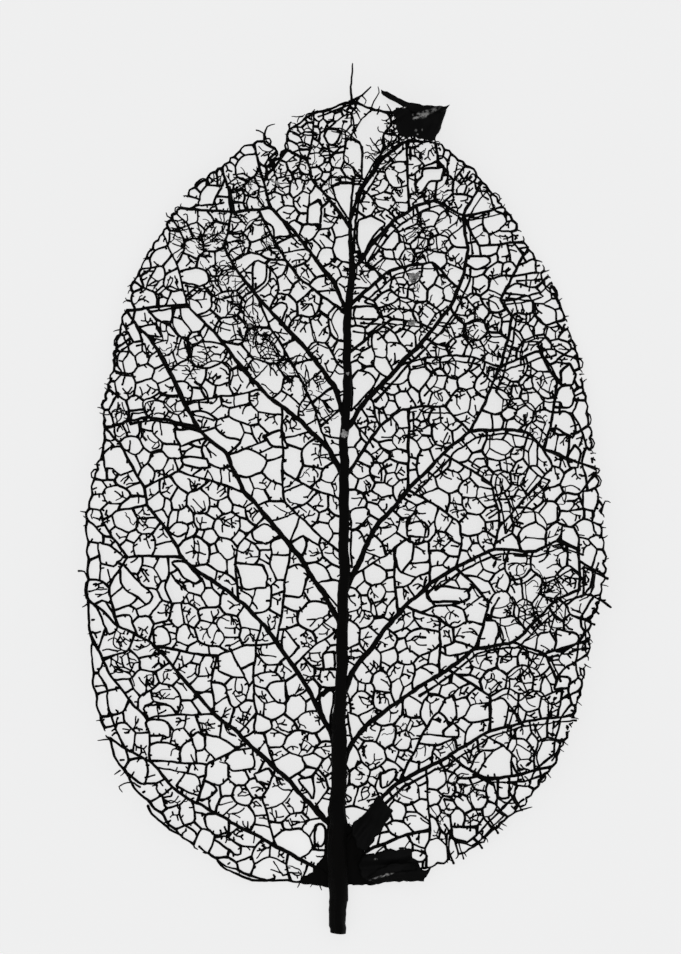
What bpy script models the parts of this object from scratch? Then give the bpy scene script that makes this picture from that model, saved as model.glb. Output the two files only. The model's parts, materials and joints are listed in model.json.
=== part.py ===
"""Skeleton leaf, lying on a table: the stalk stub, midrib, side veins and the net between them are one grown
solid, and three scraps of blade that never rotted away lie on it. Metres, +Z up, +Y from the stalk to the tip."""

import math
import random

import bmesh
import bpy
from mathutils import Vector
from mathutils.geometry import delaunay_2d_cdt, interpolate_bezier

# Driving dimensions, in millimetres. The drawing of the veins is laid out from the point where the
# midrib enters the blade, x to the right and y towards the tip.
BLADE_WIDTH = 62.0
STALK_LENGTH = 5.8
ARCH = 6.0
EDGE_WAVE = 2.4
FINE_WIDTH = 0.64
THINNEST = 0.7
THICKEST = 1.7
SOLE = 0.16
FOOT_SOLE = 0.45
SCRAP_THICKNESS = 0.6
BOX_CENTRE = (0.849, 44.988)
STEP = 3.4
NET_EDGES = 1440
SEED = 11
MM = 0.001

# Midrib width at heights up the blade.
MIDRIB_TAPER = [(-6, 1.9), (0, 2.4), (6, 2.2), (15, 1.8), (22, 1.5), (35, 1.3), (47, 1.2), (58, 1.05), (74, 0.85)]

MIDRIB = [(0, -0.1), (0, 4.4), (0, 10.4), (0.2, 20), (0.5, 28.4), (0.7, 36.8), (0.7, 46.4), (0.8, 54.8), (1.1, 62),
          (1.3, 68.6), (1.7, 74.6)]

# The edge of the blade, once round from the stalk by the left side, with the torn notch near the tip.
MARGIN = [(0, -0.1), (-5.8, 0.4), (-10.6, 1.1), (-14.8, 3.2), (-19.6, 6.8), (-22.6, 10.1), (-25.6, 13.8),
          (-27.6, 17.9), (-29, 23), (-29.4, 28.4), (-29.9, 34.4), (-30, 39.2), (-30.2, 44), (-29.2, 48.8), (-28, 53),
          (-28.1, 57.2), (-27.1, 62), (-26, 67.8), (-24.6, 72.8), (-22.3, 76.7), (-19.9, 80.3), (-17.2, 84.1),
          (-13.9, 86.3), (-11.8, 88.4), (-9.1, 89.6), (-7.4, 88.2), (-7.9, 86.6), (-6.2, 88.3), (-5.8, 90.8),
          (-2.8, 93.1), (0.8, 94), (2.2, 94.1), (4.1, 93.4), (6, 93), (7.7, 93), (9.2, 89.6), (11.8, 89.3),
          (15.4, 86.6), (19.4, 82.4), (22.4, 77.6), (25.3, 73.3), (27.4, 68.3), (28.8, 63.5), (29.8, 58.4),
          (30.4, 52.4), (31.4, 46.4), (31.9, 40.4), (31.6, 35), (30.2, 32), (30, 27.8), (29, 23.6), (27.8, 19.4),
          (26, 15), (23.6, 11.6), (20.4, 8.3), (17, 5), (13.4, 3.1), (10.8, 2), (6.8, 1.8), (2.6, 0.6), (0, -0.1)]

# Side veins, from the midrib outwards. A solid under FINE_WIDTH across would be too thin, so no vein is finer.
SIDE_VEINS = {
    "left_1": [(0, 0.5), (-4.6, 3), (-9.1, 5.3), (-14.8, 8.6), (-19.9, 11.8), (-22.6, 15), (-25.9, 16.7),
               (-27.6, 17.9)],
    "left_2": [(0, 6), (-4, 10.4), (-10.8, 17.4), (-14.8, 20.8), (-17.8, 24.2), (-22.6, 29.6), (-26.4, 31.3),
               (-29.8, 34.4)],
    "left_3": [(0.1, 15), (-1.3, 19.4), (-3.6, 23.9), (-9.1, 31.8), (-11.2, 34.1), (-18.6, 39.5), (-20.4, 42.8),
               (-22.9, 45.8), (-23.3, 48), (-26.4, 53.4), (-28, 55.2)],
    "left_4": [(0.5, 29), (-1, 34.1), (-5.8, 41.3), (-11.2, 47.4), (-13.2, 51.8), (-16.8, 55.1), (-19, 59),
               (-21.6, 64.4), (-25.7, 69.2)],
    "left_5": [(0.7, 49), (-1, 52.4), (-4.6, 56), (-9.1, 59.6), (-14.8, 66.5), (-18, 69.8), (-19, 73.8), (-21.1, 78.5)],
    "left_6": [(0.8, 56), (-0.4, 59.9), (-6, 66.8), (-11.8, 73.4), (-13.6, 76.7), (-12.7, 81)],
    "left_7": [(1.3, 68.6), (-0.4, 72.2), (-3.1, 75.8), (-8, 81.4), (-12.7, 81), (-19, 81.8)],
    "left_8": [(1.4, 79.1), (-1, 82.4), (-3.1, 84.8), (-3.7, 87.2), (-3, 89.9), (-2.8, 93.1)],
    "right_1": [(0, 1.8), (3.8, 4.2), (11, 6.6), (16.4, 7.4), (22, 10.2)],
    "right_2": [(0, 3.6), (2.9, 7.8), (7.4, 12.4), (12.2, 14.9), (18.2, 18.7), (23, 19.9), (27.8, 20.6)],
    "right_3": [(0.1, 14), (1.7, 17.4), (4.1, 20), (13.2, 26.3), (16.4, 28.7), (20.9, 29.4), (26.6, 34.7), (31.6, 36.2)],
    "right_4": [(0.3, 22.4), (1.7, 25.8), (8, 33.8), (14, 38.4), (18.5, 40.6), (23.3, 40.4), (26.3, 41.4), (31.9, 39.2)],
    "right_5": [(0.7, 35), (2.2, 38.6), (5, 44), (8.4, 47.6), (15.8, 54.5), (22.8, 54.4), (24.8, 52.7), (30.7, 50.3)],
    "right_6": [(0.8, 49.4), (5, 55.2), (7.4, 57.1), (12.8, 57.5), (15.8, 54.5)],
    "right_7": [(0.9, 55), (3.8, 58.8), (13.4, 69.4), (15.6, 76.7), (15, 80.6), (17.3, 84.6)],
    "right_8": [(1.2, 64), (6.5, 67.9), (9.2, 67.8), (10.9, 66.6)],
    "right_9": [(1.4, 69.6), (6.2, 73.7), (11.3, 74.8), (14.1, 72)],
    "right_10": [(1.7, 73.8), (6.8, 80), (11.6, 82.4), (15, 80.9), (19.9, 81.8)],
    "strand_left": [(1.7, 74.6), (1.4, 79.1), (1.8, 84.8), (1.4, 91.4), (1.7, 94.1)],
    "strand_right": [(1.7, 74.6), (1.9, 79.9), (2.6, 83.6), (4.8, 87), (7.2, 89.1), (9.2, 89.9)],
}

# Cords that join the side veins in loops near the edge.
LOOPS = {
    "loop_left_a": [(-14.8, 20.8), (-22.8, 20), (-22.6, 15)],
    "loop_left_b": [(-22.8, 20), (-27.1, 24.8), (-29.2, 29.6)],
    "loop_left_c": [(-18.6, 39.5), (-25.2, 39.6), (-27.6, 36), (-26.4, 31.3)],
    "loop_left_d": [(-25.2, 39.6), (-28.2, 44), (-23.3, 46.2)],
    "loop_left_e": [(-16.8, 55.1), (-22.6, 56.3), (-28.1, 55.2)],
    "loop_left_f": [(-18, 69.8), (-25.6, 69.5)],
    "loop_left_h": [(-8, 81.4), (-8.9, 84.8), (-10.2, 89)],
    "loop_left_i": [(-3.7, 87.2), (-6.2, 88.3), (-8.6, 84.4)],
    "loop_left_j": [(-12.7, 81), (-13.8, 86.3)],
    "loop_right_a": [(13.7, 15.5), (18.2, 12.7), (25.6, 14.3)],
    "loop_right_b": [(20.9, 29.4), (24.8, 28.1), (30, 29.6)],
    "loop_right_c": [(18.5, 40.6), (19.4, 43.2), (25.7, 50.6), (24.8, 52.7)],
    "loop_right_d": [(24.8, 52.7), (26.4, 60.8), (24.2, 64.2), (19.4, 62.5)],
    "loop_right_e": [(15.8, 54.5), (19.4, 62.5), (20.9, 68.5), (19.4, 70.4), (23.2, 76.9)],
    "loop_right_f": [(24.8, 28.2), (27, 23.6), (26.4, 20.5)],
    "loop_right_g": [(20.9, 68.5), (27, 70)],
    "loop_right_h": [(24.2, 64.2), (28.5, 66)],
    "loop_right_i": [(28.6, 40.6), (29.4, 34.4)],
    "loop_right_j": [(15, 80.9), (17, 77), (22.4, 78)],
}

# Stronger cross veins between the side veins.
CROSS_VEINS = {
    "cross_left_a": [(-10.6, 17), (-15.7, 14.5), (-16.7, 10.3)],
    "cross_left_b": [(-15.7, 14.5), (-22.6, 15)],
    "cross_left_c": [(-14.8, 20.8), (-14.5, 27.8), (-7.3, 29.4)],
    "cross_left_d": [(-14.5, 27.8), (-22, 28.9)],
    "cross_left_e": [(-6.4, 40.4), (-6.5, 33.8), (-7.3, 29.5)],
    "cross_left_f": [(-5.5, 26.8), (0.5, 31.8)],
    "cross_left_g": [(-11.8, 34.6), (-12, 41), (-8.4, 44.1)],
    "cross_left_h": [(-23.2, 48), (-19, 49.9), (-11.3, 47.2)],
    "cross_left_i": [(-13.2, 51.8), (-6.6, 54.7), (-6.4, 57.6)],
    "cross_left_j": [(-9.1, 59.6), (-13.9, 58.8), (-18.6, 58)],
    "cross_left_k": [(1.1, 69), (-4.6, 72.8), (-9.6, 81.2)],
    "cross_left_l": [(-1, 52.4), (-4.6, 61.1), (-11.8, 73.4)],
    "cross_left_m": [(0.7, 45.8), (-6.6, 50), (-6.6, 54.7)],
    "cross_left_n": [(0.7, 39.8), (-6.4, 46.4), (-6.6, 50)],
    "cross_left_o": [(-7.4, 14), (-10.1, 22.4), (-9.3, 31.8)],
    "cross_left_r": [(-7.4, 4.6), (-9.1, 10.4), (-7.6, 14)],
    "cross_right_a": [(14, 38.4), (14.4, 43.7), (8.6, 47.7)],
    "cross_right_b": [(10.7, 36), (10.7, 41.5), (6.7, 40.7), (7.2, 33)],
    "cross_right_c": [(12.8, 51.6), (18.2, 48.4), (19.2, 43.2)],
    "cross_right_d": [(12, 25.6), (11.8, 32.3), (8, 33.8)],
    "cross_right_f": [(16.4, 28.7), (17.9, 34.1), (14, 38.4)],
    "cross_right_g": [(18.2, 18.7), (18.2, 23), (12.8, 26)],
    "cross_right_h": [(14.4, 16.4), (12, 21.1), (7.4, 12.4)],
    "cross_right_i": [(8.4, 47.6), (8.4, 57.2)],
    "cross_right_j": [(7.2, 62.6), (13.4, 63.8), (19.4, 62.5)],
    "cross_right_k": [(8.4, 81.3), (8.2, 89.4)],
    "cross_right_l": [(11.9, 82.3), (12.4, 89)],
    "cross_right_n": [(11, 6.6), (10.8, 13.8)],
    "cross_right_p": [(1.6, 37.4), (6.7, 40.7)],
}

# Open places that stay one large mesh of the net: the split at the tip, and bare spots (x, y, radius).
BARE = [(3.9, 88.2, 3.2), (27.4, 55.7, 1.6), (26.9, 29.6, 1.6), (19.4, 14.8, 2.0), (-14.2, 6.8, 1.2), (-23.9, 13.7, 1.4)]

# Scraps of blade: outlines in the same drawing, and the height of their undersides over the leaf's sole.
SCRAPS = {
    "tip_scrap": (1.25, [(5.2, 95.8), (8.0, 94.6), (11.6, 93.7), (13.3, 93.9), (12.4, 92.3), (11.5, 89.9),
                         (10.4, 90.2), (7.4, 90.2), (6.9, 92.1), (7.0, 93.1)]),
    "base_strip": (1.55, [(1.75, 8.4), (4.6, 10.3), (5.5, 10.1), (6.6, 8.9), (5.8, 7.7), (5.3, 6.5), (4.1, 4.8),
                          (3.3, 4.1), (2.3, 5.2), (1.75, 6.6)]),
    "base_flap": (1.55, [(2.8, 3.55), (4.4, 4.05), (6.2, 4.3), (8.8, 4.3), (9.6, 2.6), (10.4, 0.9), (7.6, 0.6),
                         (5.0, 0.5), (3.0, 1.6)]),
}


def leaf_height(x, y):
    """Height of the leaf's underside over the table: a shallow vault that comes down to it at three places,
    at the foot and near the widest part of each side."""
    across, along = x / (BLADE_WIDTH / 2), (y - 51) / 44
    radius = min(1.0, math.hypot(across, along))
    angle = math.atan2(along, across)
    return ARCH * (1 - radius ** 2) + EDGE_WAVE * (1 - math.sin(3 * angle)) / 2 * radius ** 2


def vein_thickness(width):
    """A thick vein is nearly round and a fine one as thin as the solid may be."""
    return min(THICKEST, max(THINNEST, width * 0.85))


def midrib_width(y):
    for (low, first), (high, second) in zip(MIDRIB_TAPER, MIDRIB_TAPER[1:]):
        if y <= high:
            return first + (second - first) * (max(y, low) - low) / (high - low)
    return MIDRIB_TAPER[-1][1]


def pair(a, b):
    return (a, b) if a < b else (b, a)


def smooth_route(points, step):
    """Points about a step apart along a smooth curve through the drawn ones, which it keeps."""
    points = [Vector(point) for point in points]
    ends = [points[0] * 2 - points[1], *points, points[-1] * 2 - points[-2]]
    route = [points[0]]
    for before, start, end, after in zip(ends, ends[1:], ends[2:], ends[3:]):
        count = max(1, round((end - start).length / step))
        handles = (start + (end - before) / 6, end - (after - start) / 6)
        route.extend(interpolate_bezier(start, *handles, end, count + 1)[1:])
    return [Vector((point[0], point[1])) for point in route]


def nearest_on(point, points, edges):
    """The closest drawn point or edge: (distance, place, its point's number or None)."""
    best = (1e9, None, None)
    for number, other in enumerate(points):
        distance = (other - point).length
        if distance < best[0]:
            best = (distance, other, number)
    corner = best
    for a, b in edges:
        along = points[b] - points[a]
        t = min(1, max(0, (point - points[a]).dot(along) / along.length_squared))
        place = points[a] + along * t
        distance = (place - point).length
        if distance < best[0] - 1e-6:
            best = (distance, place, None)
    return corner if corner[0] < 0.7 else best


def draw_main_veins():
    """Lays the routes out one after the other, each end brought onto the vein that it meets."""
    points, edges = [], {}
    routes = [(MARGIN, lambda y: 0.66), (MIDRIB, midrib_width)]
    routes += [(route, None) for route in SIDE_VEINS.values()]
    routes += [(route, lambda y: 0.72) for route in LOOPS.values()]
    routes += [(route, lambda y: 0.68) for route in CROSS_VEINS.values()]
    for route, width_at in routes:
        places = smooth_route(route, STEP)
        last = None
        for number, place in enumerate(places):
            reach = 1.5 if number in (0, len(places) - 1) else 0.8
            distance, spot, known = nearest_on(place, points, edges) if points else (9, None, None)
            if distance < reach and known is not None:
                here = known
            else:
                points.append(spot.copy() if distance < reach else place)
                here = len(points) - 1
            if last is not None and last != here:
                along = number / len(places)
                middle = (place + places[number - 1]) / 2
                width = width_at(middle.y) if width_at else 1.0 - 0.3 * along
                width = max(width, 2.2 - middle.length * 0.35)
                edges[pair(last, here)] = max(width, edges.get(pair(last, here), 0))
            last = here
    return points, edges


class Net:
    """A flat net of veins: its points, the width of each vein between two of them, and the meshes between."""

    def __init__(self, points, widths):
        keys = list(widths)
        corners, lines, _, _, sources, _ = delaunay_2d_cdt(points, keys, [], 2, 0.02, True)
        self.points = [Vector(corner) for corner in corners]
        self.width = {}
        for (a, b), source in zip(lines, sources):
            if source and a != b:
                self.width[pair(a, b)] = max(widths[keys[number]] for number in source if number < len(keys))
        self.links = {number: set() for number in range(len(self.points))}
        for a, b in self.width:
            self.links[a].add(b)
            self.links[b].add(a)
        self.drop_loose_ends()
        self.pinned = set(self.links)
        self.drawn = set(self.width)
        self.meshes, self.sides = {}, {}
        for ring in self.rings():
            if ring_area([self.points[number] for number in ring]) > 0:
                self.add_mesh(ring)

    def drop_loose_ends(self):
        loose = [number for number, near in self.links.items() if len(near) < 2]
        while loose:
            number = loose.pop()
            for near in self.links.pop(number, ()):
                self.links[near].discard(number)
                self.width.pop(pair(number, near))
                if len(self.links[near]) < 2:
                    loose.append(near)

    def bearing(self, a, b):
        way = self.points[b] - self.points[a]
        return math.atan2(way.y, way.x)

    def rings(self):
        """Every face of the drawing as a ring of points, anticlockwise, and the outside clockwise."""
        order = {a: sorted(near, key=lambda b: self.bearing(a, b)) for a, near in self.links.items()}
        unused = {(a, b) for a, near in self.links.items() for b in near}
        for start in sorted(unused):
            if start not in unused:
                continue
            ring, (a, b) = [], start
            while (a, b) in unused:
                unused.discard((a, b))
                ring.append(a)
                around = order[b]
                a, b = b, around[around.index(a) - 1]
            yield ring

    def add_mesh(self, ring):
        number = len(self.meshes) + 1 + getattr(self, "made", 0)
        self.made = number
        self.meshes[number] = ring
        for a, b in zip(ring, ring[1:] + ring[:1]):
            self.sides.setdefault(pair(a, b), set()).add(number)
        return number

    def remove_mesh(self, number):
        ring = self.meshes.pop(number)
        for a, b in zip(ring, ring[1:] + ring[:1]):
            self.sides[pair(a, b)].discard(number)
        return ring

    def insert(self, a, b, place):
        """A new point in the vein from a to b."""
        new = len(self.points)
        self.points.append(place)
        width = self.width.pop(pair(a, b))
        self.links[a].remove(b)
        self.links[b].remove(a)
        self.links[new] = {a, b}
        for end in (a, b):
            self.links[end].add(new)
            self.width[pair(end, new)] = width
        beside = self.sides.pop(pair(a, b))
        for number in beside:
            ring = self.meshes[number]
            at = next(k for k in range(len(ring)) if {ring[k - 1], ring[k]} == {a, b})
            ring.insert(at, new)
        for end in (a, b):
            self.sides[pair(end, new)] = set(beside)
        if pair(a, b) in self.drawn:
            self.pinned.add(new)
            self.drawn |= {pair(a, new), pair(b, new)}
        return new

    def landing(self, ring, k, t, size):
        """Where a new vein may land on side k of a mesh: a free bend nearby, or a place clear of the forks."""
        a, b = ring[k], ring[(k + 1) % len(ring)]
        start, end = self.points[a], self.points[b]
        length = (end - start).length
        for number, far in ((a, t * length), (b, (1 - t) * length)):
            if len(self.links[number]) == 2 and far < 0.4 * size:
                return number, self.points[number], 0
        room = min(0.3 * size, length / 2)
        t = min(1 - room / length, max(room / length, t))
        return (a, b), start.lerp(end, t), 1 - room / (0.3 * size)

    def split(self, number, draw, width):
        """Draws a vein across a mesh, the short way and near its middle. False where none fits."""
        ring = self.meshes[number]
        corners = [self.points[corner] for corner in ring]
        area = ring_area(corners)
        size = math.sqrt(area)
        centre = sum(corners, Vector((0, 0))) / len(corners)
        spread = sum(((c - centre).y ** 2 - (c - centre).x ** 2) for c in corners)
        skew = sum(2 * (c - centre).x * (c - centre).y for c in corners)
        long_way = math.atan2(skew, -spread) / 2
        best = (1e9,)
        for attempt in range(24):
            angle = long_way + math.pi / 2 + draw.gauss(0, 0.35)
            shift = draw.uniform(-0.35, 0.35) * size
            pivot = centre + Vector((math.cos(long_way), math.sin(long_way))) * shift
            if attempt >= 16:
                pivot = sum(draw.sample(corners, 3), Vector((0, 0))) / 3
                angle = draw.uniform(0, math.pi)
            way = Vector((math.cos(angle), math.sin(angle)))
            hits = []
            for k, start in enumerate(corners):
                side = corners[(k + 1) % len(corners)] - start
                cross = way.x * side.y - way.y * side.x
                if abs(cross) < 1e-9:
                    continue
                off = start - pivot
                t = (off.x * way.y - off.y * way.x) / cross
                if 0 <= t < 1:
                    hits.append(((off.x * side.y - off.y * side.x) / cross, k, t, abs(cross) / side.length))
            ahead = sorted(hit for hit in hits if hit[0] > 0)
            behind = sorted((hit for hit in hits if hit[0] <= 0), reverse=True)
            if len(ahead) % 2 == 0 or not behind or ahead[0][1] == behind[0][1]:
                continue
            first, second = (self.landing(ring, hit[1], hit[2], size) for hit in (ahead[0], behind[0]))
            if first[0] == second[0]:
                continue
            one = corners[behind[0][1] + 1:ahead[0][1] + 1] if behind[0][1] < ahead[0][1] else None
            loop = [second[1], *one, first[1]] if one is not None else [
                first[1], *corners[ahead[0][1] + 1:behind[0][1] + 1], second[1]]
            part = ring_area(loop)
            if part < 0.12 * area or part > 0.88 * area:
                continue
            chord = (first[1] - second[1]).length
            slant = 2 - ahead[0][3] - behind[0][3]
            score = chord / size + abs(2 * part - area) / area + 1.2 * (first[2] + second[2]) + 0.8 * slant
            if score < best[0]:
                best = (score, first, second)
        if best[0] > 5:
            return False
        ends = [self.insert(*end[0], end[1]) if isinstance(end[0], tuple) else end[0] for end in best[1:]]
        if ends[0] == ends[1] or ends[1] in self.links[ends[0]]:
            return False
        self.join(number, ends[0], ends[1], width)
        return True

    def join(self, number, a, b, width):
        ring = self.remove_mesh(number)
        i, j = sorted((ring.index(a), ring.index(b)))
        self.links[a].add(b)
        self.links[b].add(a)
        self.width[pair(a, b)] = width
        self.add_mesh(ring[i:j + 1])
        self.add_mesh(ring[j:] + ring[:i + 1])

    def relax(self, rounds, pull):
        """Lets the free points settle as if the veins were stretched, thick ones the harder."""
        for _ in range(rounds):
            moved = {}
            for number, near in self.links.items():
                if number not in self.pinned:
                    weights = [self.width[pair(number, other)] ** 2 for other in near]
                    target = sum((self.points[other] * weight for other, weight in zip(near, weights)), Vector((0, 0)))
                    moved[number] = self.points[number].lerp(target / sum(weights), pull)
            for number, place in moved.items():
                self.points[number] = place


def ring_area(corners):
    return sum(a.x * b.y - a.y * b.x for a, b in zip(corners, corners[1:] + corners[:1])) / 2


def is_bare(net, ring):
    corners = [net.points[number] for number in ring]
    centre = sum(corners, Vector((0, 0))) / len(corners)
    return any((centre - Vector((x, y))).length < radius * 1.3 and ring_area(corners) < 5 * radius ** 2 + 12
               for x, y, radius in BARE) or (centre - Vector(BARE[0][:2])).length < 2.6


def grow_net(edges):
    """The drawn veins, and then one vein after another across the largest mesh that is left."""
    draw = random.Random(SEED)
    net = Net(*draw_main_veins())
    wish = {}
    done = set()
    while len(net.width) < edges:
        best, most = None, 0
        for number, ring in net.meshes.items():
            if number in done:
                continue
            if number not in wish:
                corners = [net.points[corner] for corner in ring]
                wish[number] = ring_area(corners) * draw.uniform(0.7, 1.3)
                if is_bare(net, ring):
                    done.add(number)
                    continue
            if wish[number] > most:
                best, most = number, wish[number]
        if best is None:
            break
        if not net.split(best, draw, FINE_WIDTH):
            wish[best] *= 0.8
            if wish[best] < 4:
                done.add(best)
    net.relax(4, 0.35)
    return net


def add_stalk(net):
    """The stalk runs on below the blade, past the last vein."""
    foot = min(net.links, key=lambda number: (net.points[number] - Vector(MIDRIB[0])).length)
    for share in (0.5, 1):
        new = len(net.points)
        net.points.append(Vector((0.05 * share, MIDRIB[0][1] - STALK_LENGTH * share)))
        net.links[new] = {foot}
        net.links[foot].add(new)
        net.width[pair(foot, new)] = midrib_width(net.points[new].y)
        foot = new


def corner_places(net):
    """Where the flanks of neighbouring veins meet: one corner in each sector round a point, held back until
    no flank turns over. A loose end has two corners, square across it."""
    half = {edge: width / 2 for edge, width in net.width.items()}
    corners, rings = {}, []
    for ring in net.rings():
        sectors = []
        for k, here in enumerate(ring):
            back, ahead = ring[k - 1], ring[(k + 1) % len(ring)]
            first, second = half[pair(here, ahead)], half[pair(back, here)]
            if back == ahead:
                way = (net.points[here] - net.points[back]).normalized()
                side = Vector((-way.y, way.x)) * first
                corners[(here, back, "left")] = side
                corners[(here, back, "right")] = -side
                sectors += [(here, back, "left"), (here, back, "right")]
                continue
            to_ahead = (net.points[ahead] - net.points[here])
            to_back = (net.points[back] - net.points[here])
            room = 0.46 * min(to_ahead.length, to_back.length)
            angle = (net.bearing(here, back) - net.bearing(here, ahead)) % math.tau
            to_ahead.normalize()
            to_back.normalize()
            if abs(math.sin(angle)) > 0.3:
                offset = (to_ahead * second + to_back * first) / math.sin(angle)
            else:
                bisector = net.bearing(here, ahead) + angle / 2
                offset = Vector((math.cos(bisector), math.sin(bisector))) * (first + second) / 2
                offset /= max(0.35, math.sin(angle / 2))
            limit = max(room, 0.3) if angle < math.pi else 1.5 * max(first, second)
            if offset.length > limit:
                offset *= limit / offset.length
            corners[(here, back, ahead)] = offset
            sectors.append((here, back, ahead))
        rings.append(sectors)
    for _ in range(30):
        bad = set()
        for sectors in rings:
            for k, sector in enumerate(sectors):
                after = sectors[(k + 1) % len(sectors)]
                if sector[0] == after[0]:
                    continue
                start, end = net.points[sector[0]], net.points[after[0]]
                if min(best_halves(start, end, end + corners[after], start + corners[sector])[1]) < 0.012:
                    bad |= {sector, after}
        if not bad:
            break
        for sector in bad:
            if sector[2] not in ("left", "right"):
                corners[sector] = corners[sector] * 0.86
    return corners, rings


def area_of(a, b, c):
    return ((b.x - a.x) * (c.y - a.y) - (b.y - a.y) * (c.x - a.x)) / 2


def best_halves(a, b, c, d):
    """A four-sided flank is cut in two triangles along the diagonal that leaves the stouter ones."""
    one = (area_of(a, b, c), area_of(a, c, d))
    other = (area_of(a, b, d), area_of(b, c, d))
    return (0, one) if min(one) >= min(other) else (1, other)


def sole_depth(x, y):
    """How far the underside dips below the table before it is planed off flat there."""
    return FOOT_SOLE if y < 7 and abs(x) < 0.6 else SOLE


def skin(net, name):
    """One closed solid round the whole net. Every point has a top and a bottom, every sector between two
    veins has a corner at half height, and each vein takes four flanks between them. No modifier makes this,
    because the width belongs to each vein and not to the point where a fine one leaves a thick one."""
    corners, rings = corner_places(net)
    thick = {number: max(vein_thickness(net.width[pair(number, other)]) for other in near)
             for number, near in net.links.items() if near}
    body = bmesh.new()
    tops, bottoms, edges = {}, {}, {}
    for number, height in thick.items():
        x, y = net.points[number]
        base = leaf_height(x, y)
        tops[number] = body.verts.new((x, y, base + height))
        bottoms[number] = body.verts.new((x, y, base - sole_depth(x, y)))
    for sector, offset in corners.items():
        x, y = net.points[sector[0]] + offset
        near = [vein_thickness(net.width[pair(sector[0], other)]) for other in sector[1:] if isinstance(other, int)]
        edges[sector] = body.verts.new((x, y, leaf_height(x, y) + min(near) / 2))
    for sectors in rings:
        for k, sector in enumerate(sectors):
            after = sectors[(k + 1) % len(sectors)]
            here, there = sector[0], after[0]
            near, far = edges[sector], edges[after]
            if here == there:
                body.faces.new((near, far, tops[here]))
                body.faces.new((far, near, bottoms[here]))
                continue
            start, end = net.points[here], net.points[there]
            which, _ = best_halves(start, end, end + corners[after], start + corners[sector])
            for a, b, turned in ((tops[here], tops[there], False), (bottoms[here], bottoms[there], True)):
                halves = ((a, b, far), (a, far, near)) if which == 0 else ((a, b, near), (b, far, near))
                for half in halves:
                    body.faces.new(tuple(reversed(half)) if turned else half)
    plane_off(body)
    return finish(body, name)


def plane_off(body):
    """Planes the underside flat where it dips below the table."""
    cut = bmesh.ops.bisect_plane(body, geom=body.verts[:] + body.edges[:] + body.faces[:], dist=1e-5,
                                 plane_co=(0, 0, 0), plane_no=(0, 0, -1), clear_outer=True)
    rim = [edge for edge in cut["geom_cut"] if isinstance(edge, bmesh.types.BMEdge)]
    bmesh.ops.holes_fill(body, edges=rim, sides=0)
    bmesh.ops.dissolve_degenerate(body, edges=body.edges[:], dist=2e-3)
    bmesh.ops.triangulate(body, faces=body.faces[:])


def finish(body, name):
    """Millimetres of the drawing become metres about the middle of the leaf's box."""
    for vert in body.verts:
        vert.co = Vector((vert.co.x - BOX_CENTRE[0], vert.co.y - BOX_CENTRE[1], vert.co.z)) * MM
    bmesh.ops.recalc_face_normals(body, faces=body.faces[:])
    if body.calc_volume(signed=True) < 0:
        bmesh.ops.reverse_faces(body, faces=body.faces[:])
    mesh = bpy.data.meshes.new(name)
    body.to_mesh(mesh)
    body.free()
    piece = bpy.data.objects.new(name, mesh)
    leaf.objects.link(piece)
    return piece


def add_scrap(name):
    """A scrap is its outline as one face, cut into a grid, lifted over the veins below it and thickened."""
    lift, outline = SCRAPS[name]
    body = bmesh.new()
    body.faces.new([body.verts.new((x, y, 0)) for x, y in outline])
    low = min(y for _, y in outline)
    for y in range(math.ceil(low), 97, 2):
        bmesh.ops.bisect_plane(body, geom=body.verts[:] + body.edges[:] + body.faces[:], dist=0.15,
                               plane_co=(0, y + 0.1, 0), plane_no=(0, 1, 0))
    bmesh.ops.triangulate(body, faces=body.faces[:])
    for vert in body.verts:
        x, y, _ = vert.co
        curl = 0.25 * math.sin(x * 0.9 + y * 0.7) + 0.3
        vert.co.z = leaf_height(x, y) + lift + curl
    piece = finish(body, name)
    if piece.data.polygons[0].normal.z < 0:
        piece.data.flip_normals()
    solid = piece.modifiers.new("thickness", "SOLIDIFY")
    solid.thickness = SCRAP_THICKNESS * MM
    solid.offset = 1
    return piece


def add_material(piece, name, colour, roughness):
    material = bpy.data.materials.new(name)
    material.use_nodes = True
    shader = material.node_tree.nodes["Principled BSDF"]
    shader.inputs["Base Color"].default_value = (*colour, 1)
    shader.inputs["Roughness"].default_value = roughness
    shader.inputs["Metallic"].default_value = 0
    piece.data.materials.append(material)


for old in list(bpy.data.objects):
    bpy.data.objects.remove(old)
leaf = bpy.data.collections.new("skeleton_leaf")
bpy.context.scene.collection.children.link(leaf)

veins = grow_net(NET_EDGES)
add_stalk(veins)
skeleton = skin(veins, "leaf_skeleton")
add_material(skeleton, "dry_vein", (0.014, 0.013, 0.012), 0.62)
for scrap_name in SCRAPS:
    add_material(add_scrap(scrap_name), scrap_name + "_blade", (0.018, 0.017, 0.016), 0.45)
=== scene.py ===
# %% [markdown]
# # A skeleton leaf
#
# A skeleton leaf is what is left when the soft green blade has rotted away: the midrib, the side veins
# and a net of finer and finer veins. This lesson grows that net by a rule, in the same drawing as the
# solid model, and then dresses it as threads of the right thickness. The leaf lies on a table and the
# camera looks down on it.

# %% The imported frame
import json
import math
import random
import time
from collections import Counter

import bmesh
import bpy
from mathutils import Matrix, Vector, noise
from mathutils.geometry import delaunay_2d_cdt, interpolate_bezier, tessellate_polygon

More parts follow.
